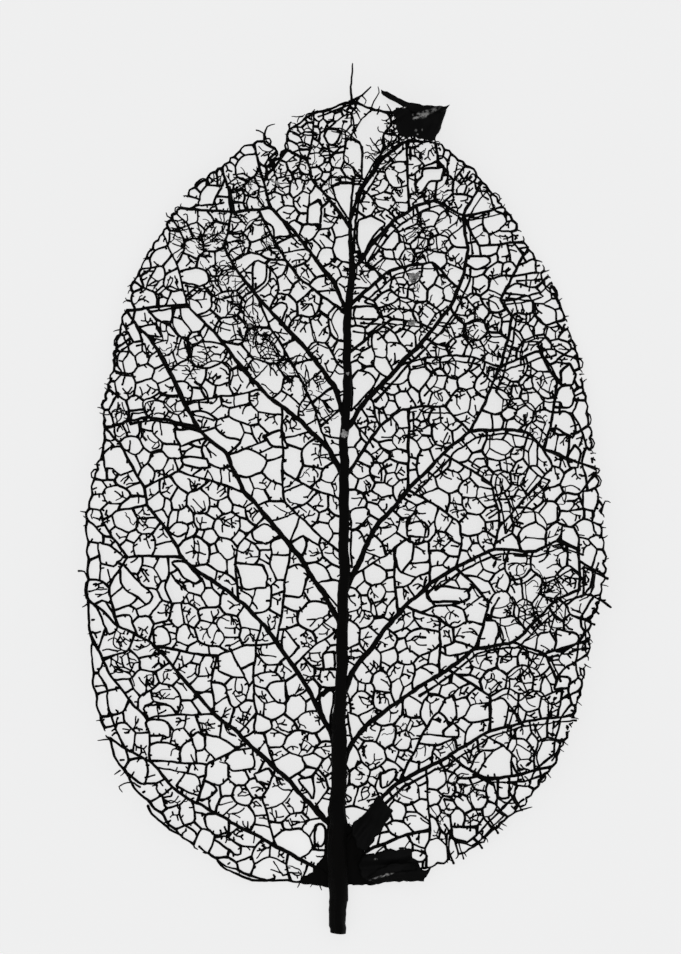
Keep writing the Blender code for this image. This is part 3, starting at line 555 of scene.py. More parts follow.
# %% The net
class Net:
    """A flat net of veins: its points, the width and name of each part, and the meshes between."""

    def __init__(self, points, widths, veins, dropped=lambda name, middle: False):
        keys = list(widths)
        corners, lines, _, _, sources, _ = delaunay_2d_cdt(points, keys, [], 2, 0.02, True)
        self.points = [Vector(corner) for corner in corners]
        self.width, self.vein = {}, {}
        for (a, b), source in zip(lines, sources):
            if source and a != b:
                known = [keys[number] for number in source if number < len(keys)]
                widest = max(known, key=lambda key: widths[key])
                if not dropped(veins[widest], (self.points[a] + self.points[b]) / 2):
                    self.width[pair(a, b)], self.vein[pair(a, b)] = widths[widest], veins[widest]
        self.links = {number: set() for number in range(len(self.points))}
        for a, b in self.width:
            self.links[a].add(b)
            self.links[b].add(a)
        self.drop_loose_ends()
        self.pinned = set(self.links)
        self.drawn = set(self.width)
        self.meshes, self.sides, self.made = {}, {}, 0
        for ring in self.rings():
            if ring_area([self.points[number] for number in ring]) > 0:
                self.add_mesh(ring)

    def drop_loose_ends(self):
        loose = [number for number, near in self.links.items() if len(near) < 2]
        while loose:
            number = loose.pop()
            for near in self.links.pop(number, ()):
                self.links[near].discard(number)
                self.width.pop(pair(number, near))
                if len(self.links[near]) < 2:
                    loose.append(near)

    def bearing(self, a, b):
        way = self.points[b] - self.points[a]
        return math.atan2(way.y, way.x)

    def rings(self):
        """Every face of the drawing as a ring of points, anticlockwise, and the outside clockwise."""
        order = {a: sorted(near, key=lambda b: self.bearing(a, b)) for a, near in self.links.items()}
        unused = {(a, b) for a, near in self.links.items() for b in near}
        for start in sorted(unused):
            if start not in unused:
                continue
            ring, (a, b) = [], start
            while (a, b) in unused:
                unused.discard((a, b))
                ring.append(a)
                around = order[b]
                a, b = b, around[around.index(a) - 1]
            yield ring

    def add_mesh(self, ring):
        self.made += 1
        self.meshes[self.made] = ring
        for a, b in zip(ring, ring[1:] + ring[:1]):
            self.sides.setdefault(pair(a, b), set()).add(self.made)

    def remove_mesh(self, number):
        ring = self.meshes.pop(number)
        for a, b in zip(ring, ring[1:] + ring[:1]):
            self.sides[pair(a, b)].discard(number)
        return ring

    def insert(self, a, b, place):
        """A new point in the vein from a to b."""
        new = len(self.points)
        self.points.append(place)
        width, vein = self.width.pop(pair(a, b)), self.vein.pop(pair(a, b))
        self.links[a].remove(b)
        self.links[b].remove(a)
        self.links[new] = {a, b}
        for end in (a, b):
            self.links[end].add(new)
            self.width[pair(end, new)], self.vein[pair(end, new)] = width, vein
        beside = self.sides.pop(pair(a, b))
        for number in beside:
            ring = self.meshes[number]
            at = next(k for k in range(len(ring)) if {ring[k - 1], ring[k]} == {a, b})
            ring.insert(at, new)
        for end in (a, b):
            self.sides[pair(end, new)] = set(beside)
        if pair(a, b) in self.drawn:
            self.pinned.add(new)
            self.drawn |= {pair(a, new), pair(b, new)}
        return new

    def landing(self, ring, k, t, size):
        """Where a new vein may land on side k of a mesh: a free bend, or a place clear of the forks."""
        a, b = ring[k], ring[(k + 1) % len(ring)]
        start, end = self.points[a], self.points[b]
        length = (end - start).length
        for number, far in ((a, t * length), (b, (1 - t) * length)):
            if len(self.links[number]) == 2 and far < 0.4 * size:
                return number, self.points[number], 0
        room = min(0.3 * size, length / 2)
        t = min(1 - room / length, max(room / length, t))
        return (a, b), start.lerp(end, t), 1 - room / (0.3 * size)

    def crossings(self, corners, pivot, way):
        """Where a line through the pivot meets the sides of a mesh: (distance, side, place, slope)."""
        hits = []
        for k, start in enumerate(corners):
            side = corners[(k + 1) % len(corners)] - start
            cross = way.x * side.y - way.y * side.x
            if abs(cross) < 1e-9:
                continue
            off = start - pivot
            t = (off.x * way.y - off.y * way.x) / cross
            if 0 <= t < 1:
                hits.append(((off.x * side.y - off.y * side.x) / cross, k, t, abs(cross) / side.length))
        ahead = sorted(hit for hit in hits if hit[0] > 0)
        behind = sorted((hit for hit in hits if hit[0] <= 0), reverse=True)
        if len(ahead) % 2 == 0 or not behind or ahead[0][1] == behind[0][1]:
            return None
        return ahead[0], behind[0]

    def split(self, number, draw, width, name):
        """Draws a vein across a mesh, the short way and near its middle. False where none fits."""
        ring = self.meshes[number]
        corners = [self.points[corner] for corner in ring]
        twice = {corner for corner in ring if ring.count(corner) > 1}
        area = ring_area(corners)
        size = math.sqrt(area)
        centre = sum(corners, Vector((0, 0))) / len(corners)
        spread = sum(((c - centre).y ** 2 - (c - centre).x ** 2) for c in corners)
        skew = sum(2 * (c - centre).x * (c - centre).y for c in corners)
        long_way = math.atan2(skew, -spread) / 2
        best = (1e9,)
        for attempt in range(24):
            angle = long_way + math.pi / 2 + draw.gauss(0, 0.35)
            shift = draw.uniform(-0.35, 0.35) * size
            pivot = centre + Vector((math.cos(long_way), math.sin(long_way))) * shift
            if attempt >= 16:
                pivot = sum(draw.sample(corners, 3), Vector((0, 0))) / 3
                angle = draw.uniform(0, math.pi)
            hits = self.crossings(corners, pivot, Vector((math.cos(angle), math.sin(angle))))
            if hits is None:
                continue
            ahead, behind = hits
            first, second = (self.landing(ring, hit[1], hit[2], size) for hit in hits)
            landed = [set(end[0]) if isinstance(end[0], tuple) else {end[0]} for end in (first, second)]
            if first[0] == second[0] or landed[0] <= twice or landed[1] <= twice:
                continue
            if behind[1] < ahead[1]:
                loop = [second[1], *corners[behind[1] + 1:ahead[1] + 1], first[1]]
            else:
                loop = [first[1], *corners[ahead[1] + 1:behind[1] + 1], second[1]]
            part = ring_area(loop)
            if part < 0.12 * area or part > 0.88 * area:
                continue
            slant = 2 - ahead[3] - behind[3]
            score = (first[1] - second[1]).length / size + abs(2 * part - area) / area
            score += 1.2 * (first[2] + second[2]) + 0.8 * slant
            if score < best[0]:
                best = (score, first, second)
        if best[0] > 5:
            return False
        ends = [self.insert(*end[0], end[1]) if isinstance(end[0], tuple) else end[0] for end in best[1:]]
        if ends[0] == ends[1] or ends[1] in self.links[ends[0]]:
            return False
        self.join(number, ends[0], ends[1], width, name)
        return True

    def join(self, number, a, b, width, name):
        ring = self.remove_mesh(number)
        i, j = sorted((ring.index(a), ring.index(b)))
        self.links[a].add(b)
        self.links[b].add(a)
        self.width[pair(a, b)], self.vein[pair(a, b)] = width, name
        self.add_mesh(ring[i:j + 1])
        self.add_mesh(ring[j:] + ring[:i + 1])

    def relax(self, rounds, pull):
        """Lets the free points settle as if the veins were stretched, thick ones the harder."""
        for _ in range(rounds):
            moved = {}
            for number, near in self.links.items():
                if number not in self.pinned:
                    weights = [self.width[pair(number, other)] ** 2 for other in near]
                    target = sum((self.points[other] * weight for other, weight in zip(near, weights)),
                                 Vector((0, 0)))
                    moved[number] = self.points[number].lerp(target / sum(weights), pull)
            for number, place in moved.items():
                self.points[number] = place

    def corners(self, number):
        return [self.points[corner] for corner in self.meshes[number]]


# %% [markdown]
# ### Open meshes
#
# The meshes that strike the eye are the wide open ones, so these are drawn too, in millimetres, from the
# tip down. Their rims are cut into the grown net: corners near a main vein move onto it, and the veins
# inside go.

# %% Open meshes
OPEN_MESHES = [
    [(1.8, 93.9), (4.2, 93.4), (6.1, 92.9), (6.4, 91.6), (5.6, 90.4), (5.5, 88.9), (4.4, 87.2),
     (3.2, 85.2),
     (2.8, 84.9), (2.8, 88.8), (2.1, 90.2), (2, 92)],
    [(0.9, 89.4), (2, 89.7), (2.8, 88.8), (2.7, 85.2), (1.5, 86.2), (0.8, 86.9), (0.7, 88)],
    [(-0.6, 83.9), (0.2, 84.5), (1.7, 84.3), (1.7, 82.5), (1.3, 80.4), (0, 82.2)],
    [(-1.6, 90.1), (-1.2, 90.9), (0.3, 90.6), (0, 89.6), (-0.5, 89.1), (-1.1, 89.2)],
    [(9.2, 84.4), (10.2, 85.3), (10.3, 86.2), (12.7, 86.5), (12.6, 85), (11, 84.6), (10, 83.3),
     (9.3, 83.4)],
    [(2.5, 80), (4, 80.5), (5.5, 79.4), (4.2, 77.8), (2.5, 75.5), (2.3, 77.6)],
    [(-9, 80.9), (-8.1, 81.2), (-6.6, 79.7), (-5.6, 78.1), (-7.5, 77.9), (-7.8, 79.2), (-9, 79.8)],
    [(-5.9, 79.4), (-5.2, 80), (-4.2, 79.3), (-4.3, 78), (-5.4, 78.2)],
    [(-3.4, 81.6), (-2.3, 82.3), (-1.9, 81.6), (-2.1, 79.3), (-3.6, 79.4)],
    [(-16.6, 83.4), (-15.8, 84.4), (-14, 84.3), (-14.7, 83), (-15, 82), (-16.8, 82)],
    [(15.8, 75.6), (17.9, 75.6), (18.2, 75), (16.8, 74.1), (15.3, 74.8)],
    [(21.4, 75), (23.7, 75.4), (23.9, 73.8), (21.3, 73.7)],
    [(20.2, 71.9), (21.2, 72.5), (23.8, 72.1), (24.3, 71.6), (22.8, 71.1), (20.2, 71.1)],
    [(-9.9, 74.9), (-8.4, 74.6), (-8.7, 72.7), (-9.9, 71.7), (-10.2, 72.6)],
    [(-18.7, 73.8), (-17, 74.3), (-15.8, 73.8), (-15.4, 72.6), (-16.6, 72), (-18.7, 72.5)],
    [(2.1, 69.5), (4.2, 69.5), (4.9, 68.6), (4.6, 68), (2.1, 68.2)],
    [(-25.6, 67.2), (-24.8, 67.8), (-24, 67.1), (-23.6, 65.6), (-24.7, 65.4)],
    [(-23.6, 67.6), (-22, 67.5), (-21.3, 66), (-23.2, 66)],
    [(-8, 69.4), (-6.5, 70), (-6, 69.3), (-6.6, 67.8), (-7.5, 68.1)],
    [(26.9, 61.9), (28, 62.8), (28.7, 61.6), (28.4, 60.4), (26.9, 60.5)],
    [(1.6, 60.9), (2.5, 61.8), (3.7, 61.5), (4.5, 60.5), (3.2, 58.8), (1.6, 57)],
    [(26.2, 58.8), (27, 60.2), (28.2, 60.2), (28.7, 59), (28, 57.5), (26.4, 57.6)],
    [(25.4, 56.2), (26, 57.1), (27.8, 56.9), (28.6, 55.4), (28.2, 53.9), (26.2, 55), (24.9, 55)],
    [(-16, 54.8), (-14.6, 55.2), (-13.2, 54), (-11.7, 53.5), (-13.3, 52.2), (-14.6, 53.6)],
    [(-19.7, 55), (-17.2, 54.8), (-15.9, 53.6), (-18.8, 53), (-19.5, 54)],
    [(-20.9, 53.2), (-19, 53.2), (-18.7, 51.6), (-20.2, 51.4), (-21.1, 52.3)],
    [(-28, 51.8), (-27.4, 52.7), (-26.2, 52.8), (-24.8, 49.9), (-26, 49.4), (-27, 50.1), (-28, 50.1)],
    [(-8.9, 54.2), (-7, 54.4), (-6, 52.6), (-7.8, 52.9)],
    [(-18.6, 51.7), (-15.7, 51.4), (-15.2, 50.4), (-16.8, 50.4), (-18.4, 50.8)],
    [(27.4, 52), (28.4, 53), (29.2, 52), (29, 50.4), (28, 50.4)],
    [(29.6, 47.5), (30.8, 47.8), (31.3, 46.4), (30.8, 45), (29.4, 45.3)],
    [(1.5, 45.2), (3.3, 45.5), (3.9, 44.6), (2.4, 43.2), (1.5, 43)],
    [(1.6, 42.8), (2.4, 42.9), (3.6, 41.2), (2.6, 39.8), (1.6, 38.4)],
    [(8.2, 43.6), (10, 43.9), (10.8, 43.3), (10.6, 42.1), (8.3, 42.2)],
    [(6.9, 41), (8.2, 41.8), (9, 41.6), (8.8, 39.4), (7.4, 37.9), (6.8, 39.6)],
    [(27, 43.4), (28.4, 43.2), (29, 42), (28.6, 40.6), (26.8, 41.6)],
    [(-20, 43), (-19.2, 43.9), (-18, 43.6), (-18, 42.6), (-19.2, 42.1)],
    [(-10.3, 42.9), (-8.8, 43.6), (-7, 42.3), (-8.6, 41.3), (-10, 41.8)],
    [(-8, 41.4), (-6.8, 41.9), (-5.8, 41.1), (-6, 40.1), (-7.9, 40)],
    [(-5.5, 41.3), (-4.2, 42.1), (-3.8, 41), (-4.6, 39.5)],
    [(-29, 41.2), (-27.4, 41), (-25.8, 39.7), (-27, 38.5), (-28.6, 38.8)],
    [(-11.7, 39.1), (-9, 38.6), (-8.4, 37.4), (-8.5, 36), (-11.3, 35.9)],
    [(-6, 38.3), (-4.7, 38.7), (-3.7, 37.6), (-4, 35.6), (-4.6, 34.9), (-6.1, 35.1)],
    [(-19.8, 38.9), (-18.2, 39), (-16.2, 37), (-17, 36.5), (-18.3, 37.1)],
    [(-26.5, 38.4), (-25.4, 38.7), (-23.4, 36), (-22.2, 34.8), (-22.9, 33.9), (-25.8, 36.1)],
    [(-20.7, 36), (-20, 37.6), (-18.9, 36.3), (-17.9, 35.4), (-18.8, 34.2), (-19.9, 34)],
    [(-1.9, 36.6), (-0.8, 37), (0.1, 36.8), (0.2, 33.6)],
    [(10.6, 35.3), (11.8, 36), (15.4, 35.8), (15.6, 34.8), (14.4, 34.2), (11, 34.4)],
    [(-29.5, 33.6), (-28, 34.2), (-26.7, 31), (-27.4, 30.4), (-28.4, 32)],
    [(-26.6, 32.4), (-24.9, 32.6), (-24, 30.5), (-26.2, 31)],
    [(17.6, 32), (18.8, 32), (19.2, 30.8), (18.6, 29.2), (16.9, 28.9)],
    [(-22, 31), (-21.2, 31.4), (-20.3, 30.6), (-20.2, 29.2), (-22, 28.8)],
    [(26.2, 30.8), (27.4, 30.6), (29, 30.2), (28.7, 29.1), (27, 28.2), (26, 28.4)],
    [(12.6, 29), (14, 29.6), (16.4, 29.1), (14.8, 28.2), (13, 28)],
    [(-6.8, 29.2), (-6.4, 31), (-4.7, 29), (-5.9, 27.6)],
    [(-1.7, 28), (-0.4, 28.2), (-0.4, 26.2), (-1.6, 26.2)],
    [(-14.3, 27.6), (-12.8, 28.2), (-11.2, 25.4), (-12.6, 25.3), (-14.2, 26)],
    [(26, 24.8), (26.8, 25.3), (27.9, 25), (27.8, 23.9), (26, 23.8)],
    [(-8.6, 23.9), (-8.1, 24.5), (-6.3, 24.8), (-6.1, 22.2), (-7.4, 22.4)],
    [(-17.4, 23.2), (-14.8, 23.4), (-14.9, 21), (-15.6, 21)],
    [(-2.2, 22.4), (-1.2, 23.6), (-0.5, 23.4), (-0.6, 18.6)],
    [(14, 22.4), (15.4, 22.8), (15.7, 21.8), (15.2, 20.8), (14.2, 20.1)],
    [(18.4, 22.4), (19.8, 22.6), (20.5, 21.6), (19.8, 19.5), (18.2, 19.1)],
    [(-23.2, 21.6), (-20.6, 21.8), (-19.5, 20.4), (-23.2, 20.2)],
    [(1.2, 21), (2.4, 20.4), (3.1, 19.4), (1.3, 17.2)],
    [(-10, 20.6), (-8.2, 20.1), (-8.1, 19), (-9, 18.4), (-10, 18.7)],
    [(12.6, 18.6), (13.8, 19.8), (14.5, 19), (14.4, 18), (12.7, 18)],
    [(-22.7, 19.6), (-20.6, 19.7), (-20.2, 18), (-22.6, 18)],
    [(-17.6, 18), (-16.8, 18.6), (-16, 18), (-16, 16.6), (-17, 16.2)],
    [(16.9, 13.8), (18.6, 16.1), (19.9, 16.8), (20.9, 15.8), (21, 13.1), (19.6, 12.9), (17.6, 13.2)],
    [(-13.6, 15), (-12.6, 15.8), (-10.4, 16.6), (-10.1, 14.4), (-12.8, 13.8)],
    [(-25.2, 15.2), (-23.4, 15.2), (-22.9, 14.2), (-23.4, 12.3), (-25.2, 13.8)],
    [(-10.2, 13.4), (-8.2, 14), (-7.4, 13), (-8, 11.9), (-9.8, 12.4)],
    [(5, 13.6), (7, 13.9), (6.9, 12.8), (5.5, 11.7)],
    [(-19.4, 11.9), (-18.4, 13.6), (-16.9, 13), (-17, 11)],
    [(-4.8, 12.6), (-3, 13.1), (-2.9, 10.3)],
    [(-16.6, 12.8), (-15.6, 12.4), (-14.6, 11.3), (-15.6, 10.4), (-16.7, 10.3)],
    [(19.4, 12.4), (20.7, 12.6), (20.6, 10.6), (19.4, 10.6)],
    [(-16, 8.4), (-15, 8.6), (-13.2, 7.6), (-13.2, 6.2), (-14.8, 5.8), (-16, 7)],
    [(13.9, 6.6), (16.8, 7), (16.8, 6), (15.6, 5.2), (14, 5.6)],
    [(-2.8, 7), (-1.9, 7.2), (-1.4, 6), (-1.7, 4.8), (-2.8, 4.7)],
    [(-14.9, 5.4), (-13.4, 5.8), (-11.8, 4.6), (-11.8, 3.7), (-12.6, 3.7)],
    [(8.7, 3.8), (9.6, 4), (10.7, 3.4), (10.3, 2.7), (9.6, 2.6), (8.8, 3)],
]


# %% Rims of the open meshes
RIM_WIDTH, INNER_VEIN_WIDTH = 0.28, 0.29


def onto_main_vein(corner, reach=0.5):
    """(place, moved): a rim's corner, moved onto a main vein if one is near."""
    distance, spot, _ = nearest_on(Vector(corner), main_points, main_widths)
    return (spot.copy(), True) if distance < reach else (Vector(corner), False)


RIMS = [[onto_main_vein(corner) for corner in outline] for outline in OPEN_MESHES]
RIM_BOXES = [[f(place[axis] for place, _ in rim) for axis in (0, 1) for f in (min, max)] for rim in RIMS]


def inside(rim, point):
    """True if a line from the point to the right crosses the rim an odd number of times."""
    return sum((a.y > point.y) != (b.y > point.y)
               and point.x < (b.x - a.x) * (point.y - a.y) / (b.y - a.y) + a.x
               for (a, _), (b, _) in zip(rim, rim[1:] + rim[:1])) % 2


def in_open_mesh(point, well=0.0):
    """True inside an open mesh, or with `well` given, about that far inside or more."""
    around = [point + Vector(by) * well for by in ((1, 0), (0, 1), (-1, 0), (0, -1))[:4 if well else 1]]
    return any(left < point.x < right and low < point.y < high and all(inside(rim, spot) for spot in around)
               for rim, (left, right, low, high) in zip(RIMS, RIM_BOXES))


def kind_of(name):
    first = name.split("_")[0]
    return "side" if first in ("left", "right", "strand") else first


def not_in_open_mesh(name, middle):
    """True for a part that has to go: one inside an open mesh that is no main vein."""
    if kind_of(name) in ("midrib", "side", "margin", "rim"):
        return name == "strand_left" and middle.y > 85.4
    return in_open_mesh(middle, 0.35 if kind_of(name) in ("loop", "cross") else 0)


def opened(net):
    """The same net with the open meshes cut into it."""
    points, widths, veins = list(net.points), dict(net.width), {key: net.vein[key] for key in net.width}
    outside = [number for number in net.links if not in_open_mesh(net.points[number])]
    for number, rim in enumerate(RIMS):
        first = len(points)
        points += [place for place, _ in rim]
        for k, ((a, moved_a), (b, moved_b)) in enumerate(zip(rim, rim[1:] + rim[:1])):
            if not (moved_a and moved_b and onto_main_vein((a + b) / 2, 0.4)[1]):
                key = pair(first + k, first + (k + 1) % len(rim))
                widths[key], veins[key] = RIM_WIDTH, f"rim_{number}"
        if not any(moved for _, moved in rim):
            key = min(((n, first + k) for n in outside for k in range(len(rim))),
                      key=lambda key: (points[key[0]] - points[key[1]]).length)
            widths[key], veins[key] = RIM_WIDTH, f"coarse_link_{number}"
    for number, row in enumerate(edge_strip()):
        first = len(points)
        points += row
        for k in range(first, len(points) - 1):
            widths[k, k + 1], veins[k, k + 1] = INNER_VEIN_WIDTH, f"coarse_edge_{number}"
    cut = Net(points, widths, veins, not_in_open_mesh)
    cut.drawn = {key for key in cut.width if kind_of(cut.vein[key]) != "coarse"}
    cut.pinned = {number for key in cut.drawn for number in key}
    return cut


print("open meshes:", len(RIMS))

# %% [markdown]
# ### Small cells along the edge
#
# A row of small round cells runs along the edge, about a millimetre wide. A vein is drawn that far inside
# the edge, and the growth rule then divides the strip between the two the short way.

# %% Inner vein of the edge
EDGE_STRIP = 1.05


def outward(a, b, middle=Vector((1, 48))):
    side = Vector(((b - a).y, -(b - a).x)).normalized()
    return side if side.dot((a + b) / 2 - middle) > 0 else -side


EDGE_PLACES = smooth_route(MARGIN, 0.9)


def near_edge(place, reach):
    return any(abs(edge.y - place.y) < reach and (edge - place).length < reach for edge in EDGE_PLACES)


def edge_strip():
    """Rows of places along the inner side of the row of cells."""
    row = []
    for before, place, after in zip(EDGE_PLACES, EDGE_PLACES[1:], EDGE_PLACES[2:]):
        wide = EDGE_STRIP + 0.5 * noise.noise(Vector((place.x * 0.4, place.y * 0.4, 31)))
        inner = place - outward(before, after) * wide
        there = 4 < place.y < (82 if place.x < 0 else 88) and not (place.x < 0 and 29 < place.y < 43)
        if there and len(row) < 10:
            row.append(inner)
        else:
            if len(row) > 1:
                yield row
            row = row[-1:] + [inner] if row and there else []


# %% [markdown]
# ### Growing in two goes
#
# The first go repeats the solid model's net, from the same seed. The second go cuts the open meshes into
# it and splits the others on down to life size. How large a mesh may stay depends on its place, and it is
# judged by its outline, so that a long thin one is split as well. MESH_AREAS gives that size at 38
# places. It wasn't read from the photograph mesh by mesh: renders were compared with the photograph in
# squares of about 11 mm, by the share that is dark and by the meshes counted, and the sizes were changed
# until the squares came close.

# %% Growth
def is_bare(net, ring):
    """As in the solid model: true for the split at the tip and for a mesh at a bare spot."""
    corners = [net.points[number] for number in ring]
    centre = sum(corners, Vector((0, 0))) / len(corners)
    return any((centre - Vector((x, y))).length < radius * 1.3 and ring_area(corners) < 5 * radius ** 2 + 12
               for x, y, radius in BARE) or (centre - Vector(BARE[0][:2])).length < 2.6


def is_open(net, ring):
    """True for an open mesh, judged by the middle of its largest triangle, which is always inside it."""
    corners = [net.points[number] for number in ring]
    triangles = [[corners[k] for k in some] for some in tessellate_polygon([[c.to_3d() for c in corners]])]
    largest = max(triangles, key=lambda triangle: abs(ring_area(triangle)), default=corners)
    return in_open_mesh(sum(largest, Vector((0, 0))) / len(largest))


def grow(net, draw, width, name, wish_of, enough, bare):
    """One vein after another across the mesh that most wants one, until there are enough."""
    wish, done = {}, set()
    while True:
        best, most = None, 0
        for number, ring in net.meshes.items():
            if number in done:
                continue
            if number not in wish:
                wish[number] = wish_of(number)
                if bare(net, ring):
                    done.add(number)
                    continue
            if wish[number] > most:
                best, most = number, wish[number]
        if best is None or enough(most):
            return
        if not net.split(best, draw, width, f"{name}_{net.made}"):
            wish[best] *= 0.8
            if wish[best] < 4 * (width > 0.5) + 0.9:
                done.add(best)


MESH_AREAS = [(-25, 18, 6.2), (-12, 8, 6.6), (-4, 8, 7.6), (-14, 18, 7.6), (-26, 30, 8), (-14, 31, 5),
              (-4, 31, 7.4), (-26, 46, 4.5), (-14, 42, 5.2), (-4, 42, 5.6), (-26, 55, 5.2),
              (-15, 54, 6.2), (-4, 54, 8.6), (-20, 66, 6.8), (-4, 65, 10), (-15, 77, 6.5), (-4, 77, 5),
              (-14, 85, 4), (-2, 89, 2.5), (8, 88, 5.4), (6, 77, 5.2), (6, 65, 5.4), (6, 54, 3.2),
              (6, 42, 5.3), (6, 30, 4.5), (6, 18, 5.2), (7, 7, 5.6), (15, 8, 4.6), (17, 19, 8),
              (17, 30, 8), (17, 42, 5), (17, 54, 4.6), (17, 65, 5.2), (17, 77, 5.2), (28, 22, 5.2),
              (28, 30, 5.2), (28, 42, 9), (28, 54, 6.4)]


def mesh_size(x, y):
    """The area in square millimetres that a mesh may have before it is split again."""
    if near_edge(Vector((x, y)), 1.0):
        return 7 if x < 0 and y < 45 else 1.8 if y > 58 else 4
    weights = [1 / ((x - a) ** 2 + (y - b) ** 2 + 4) ** 2 for a, b, _ in MESH_AREAS]
    return sum(weight * area for weight, (_, _, area) in zip(weights, MESH_AREAS)) / sum(weights)


COARSE_WIDTH, FINE_WIDTH = 0.64, 0.4
SQUARENESS = 18.5


def grow_net(fine_seed, finest):
    """The solid model's net, opened, and divided on: SQUARENESS turns an outline squared into an area."""
    draw = random.Random(SEED)
    net = Net(main_points, main_widths, main_veins)
    grow(net, draw, COARSE_WIDTH, "coarse",
         lambda number: ring_area(net.corners(number)) * draw.uniform(0.7, 1.3),
         lambda most: len(net.width) >= COARSE_EDGES, is_bare)
    net.relax(4, 0.35)
    net = opened(net)
    draw = random.Random(fine_seed)

    def fine_wish(number):
        corners = net.corners(number)
        middle = sum(corners, Vector((0, 0))) / len(corners)
        around = sum((a - b).length for a, b in zip(corners, corners[1:] + corners[:1]))
        return around * around / SQUARENESS / mesh_size(*middle) / finest * draw.uniform(0.65, 1.45)

    grow(net, draw, FINE_WIDTH, "fine", fine_wish, lambda most: most < 1, is_open)
    net.relax(12, 0.3)
    return net


upper_net = grow_net(SEED + 2, 1.08)
print("upper net:", len(upper_net.meshes), "meshes,", round(time.time() - started, 1), "s")


# %% [markdown]
# ## From the drawing to threads
#
# Each vein is swept as one closed round thread along all its parts. A curve object with a bevel would do
# the same, but a swept mesh lets the thickness change freely, so that a vein swells a little where it
# forks. The drawing is bent slightly, everywhere by the same smooth noise, so that ends which meet in the
# drawing still meet.

# %% Threads
UP = Vector((0, 0, 1))
THREAD_RISE = 0.17
SWELL_REACH = 0.35


class Threads:
    """Gathers round threads, in the drawing's millimetres, and makes one mesh of them."""

    def __init__(self, sides=6):
        angles = [k * math.tau / sides for k in range(sides)]
        self.turns = [(math.cos(angle), math.sin(angle)) for angle in angles]
        self.places, self.faces = [], []

    def add(self, line, halves, ridges=None, round_end=0.7):
        """A thread along the line, halves its half thicknesses, closed at both ends."""
        count, sides, first = len(line), len(self.turns), len(self.places)
        for k, (place, half) in enumerate(zip(line, halves)):
            way = (line[min(k + 1, count - 1)] - line[max(k - 1, 0)]).normalized()
            side = way.cross(UP) if abs(way.z) < 0.95 else way.cross(Vector((1, 0, 0)))
            side.normalize()
            over = side.cross(way)
            for turn, (cos, sin) in enumerate(self.turns):
                reach = half * ridges(k, turn) if ridges else half
                self.places.append(place + (side * cos + over * sin) * reach)
        for k in range(count - 1):
            low = first + k * sides
            for turn in range(sides):
                after = (turn + 1) % sides
                self.faces.append((low + turn, low + after, low + sides + after, low + sides + turn))
        for end, inner, low in ((0, 1, first), (count - 1, count - 2, first + (count - 1) * sides)):
            tip = len(self.places)
            self.places.append(line[end] + (line[end] - line[inner]).normalized() * halves[end] * round_end)
            for turn in range(sides):
                here, after = low + turn, low + (turn + 1) % sides
                self.faces.append((after, here, tip) if end == 0 else (here, after, tip))

    def piece(self, name, material):
        make_piece(name, self.places, self.faces, material, "leaf_skeleton")


def make_piece(name, places, faces, material, node):
    mesh = bpy.data.meshes.new(name)
    mesh.from_pydata([in_frame(*place) for place in places], [], faces)
    mesh.shade_smooth()
    mesh.materials.append(material)
    made = bpy.data.objects.new(name, mesh)
    bpy.context.scene.collection.objects.link(made)
    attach(made, "root")
    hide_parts(node)
    triangles = sum(len(face.vertices) - 2 for face in mesh.polygons)
    print(name, triangles, "triangles,", round(time.time() - started, 1), "s")


# %% Laying the drawing on the vault
def lay(point, rise, layer=0):
    """A drawn point on the vault, so far over its underside, moved by the small waves of a dry leaf."""
    x, y = point
    shift = noise.noise_vector(Vector((x * 0.4, y * 0.4, 3.7 + layer))) * 0.22
    shift += noise.noise_vector(Vector((x * 1.5, y * 1.5, 9.1 + layer))) * 0.09
    wave = noise.noise(Vector((x * 0.3, y * 0.3, 1.3 + layer))) * 0.5 * min(1, leaf_height(x, y) / 1.5)
    return Vector((x + shift.x, y + shift.y, leaf_height(x, y) + rise + wave))


def chains(near):
    """A vein's parts, given as the neighbours of each point, as rows of points with no fork inside."""
    used = set()
    for start in [n for n in near if len(near[n]) != 2] + list(near):
        for first in near[start]:
            if pair(start, first) in used:
                continue
            row, (a, b) = [start], (start, first)
            while True:
                used.add(pair(a, b))
                row.append(b)
                if len(near[b]) != 2 or b == start:
                    break
                a, b = b, next(n for n in near[b] if n != a)
            yield row


def veins_of(net, wanted=lambda name, middle: True):
    """(name, row of points) for every vein of a net, or for the parts of it that are wanted."""
    parts = {}
    for (a, b), name in net.vein.items():
        if pair(a, b) in net.width and wanted(name, (net.points[a] + net.points[b]) / 2):
            near = parts.setdefault(name, {})
            near.setdefault(a, []).append(b)
            near.setdefault(b, []).append(a)
    for name, near in parts.items():
        for row in chains(near):
            yield name, row


def thread_along(threads, route, width_at, rise=THREAD_RISE, layer=0, swell=(0.45, 0.45), step=0.4):
    """Sweeps a drawn route. It swells where it leaves a vein, and thins where its swell is negative."""
    route = smooth_route(route, step)
    travelled = [0]
    for before, after in zip(route, route[1:]):
        travelled.append(travelled[-1] + (after - before).length)
    halves = []
    for place, gone in zip(route, travelled):
        half = width_at(place, gone / max(travelled[-1], 1e-6)) / 2
        half *= 1 + 0.3 * noise.noise(Vector((place.x * 0.8, place.y * 0.8, 20 + layer)))
        swelling = swell[0] * math.exp(-gone / SWELL_REACH)
        swelling += swell[1] * math.exp((gone - travelled[-1]) / SWELL_REACH)
        halves.append(half * max(0.35, 1 + swelling))
    line = [lay(place, rise + 0.35 * half, layer) for place, half in zip(route, halves)]
    for place, half in zip(line, halves):
        place.z = max(place.z, half + 0.02)
    threads.add(line, halves)


# %% [markdown]
# ### The widths
#
# A side vein is 0.4 to 0.74 mm wide at its root, the left strand 0.28 mm, and each is 0.32 mm or less at
# its end. The net's own veins are from a third of a millimetre down to a fifth. Those widths were
# adjusted until a render was as dark as the photograph.

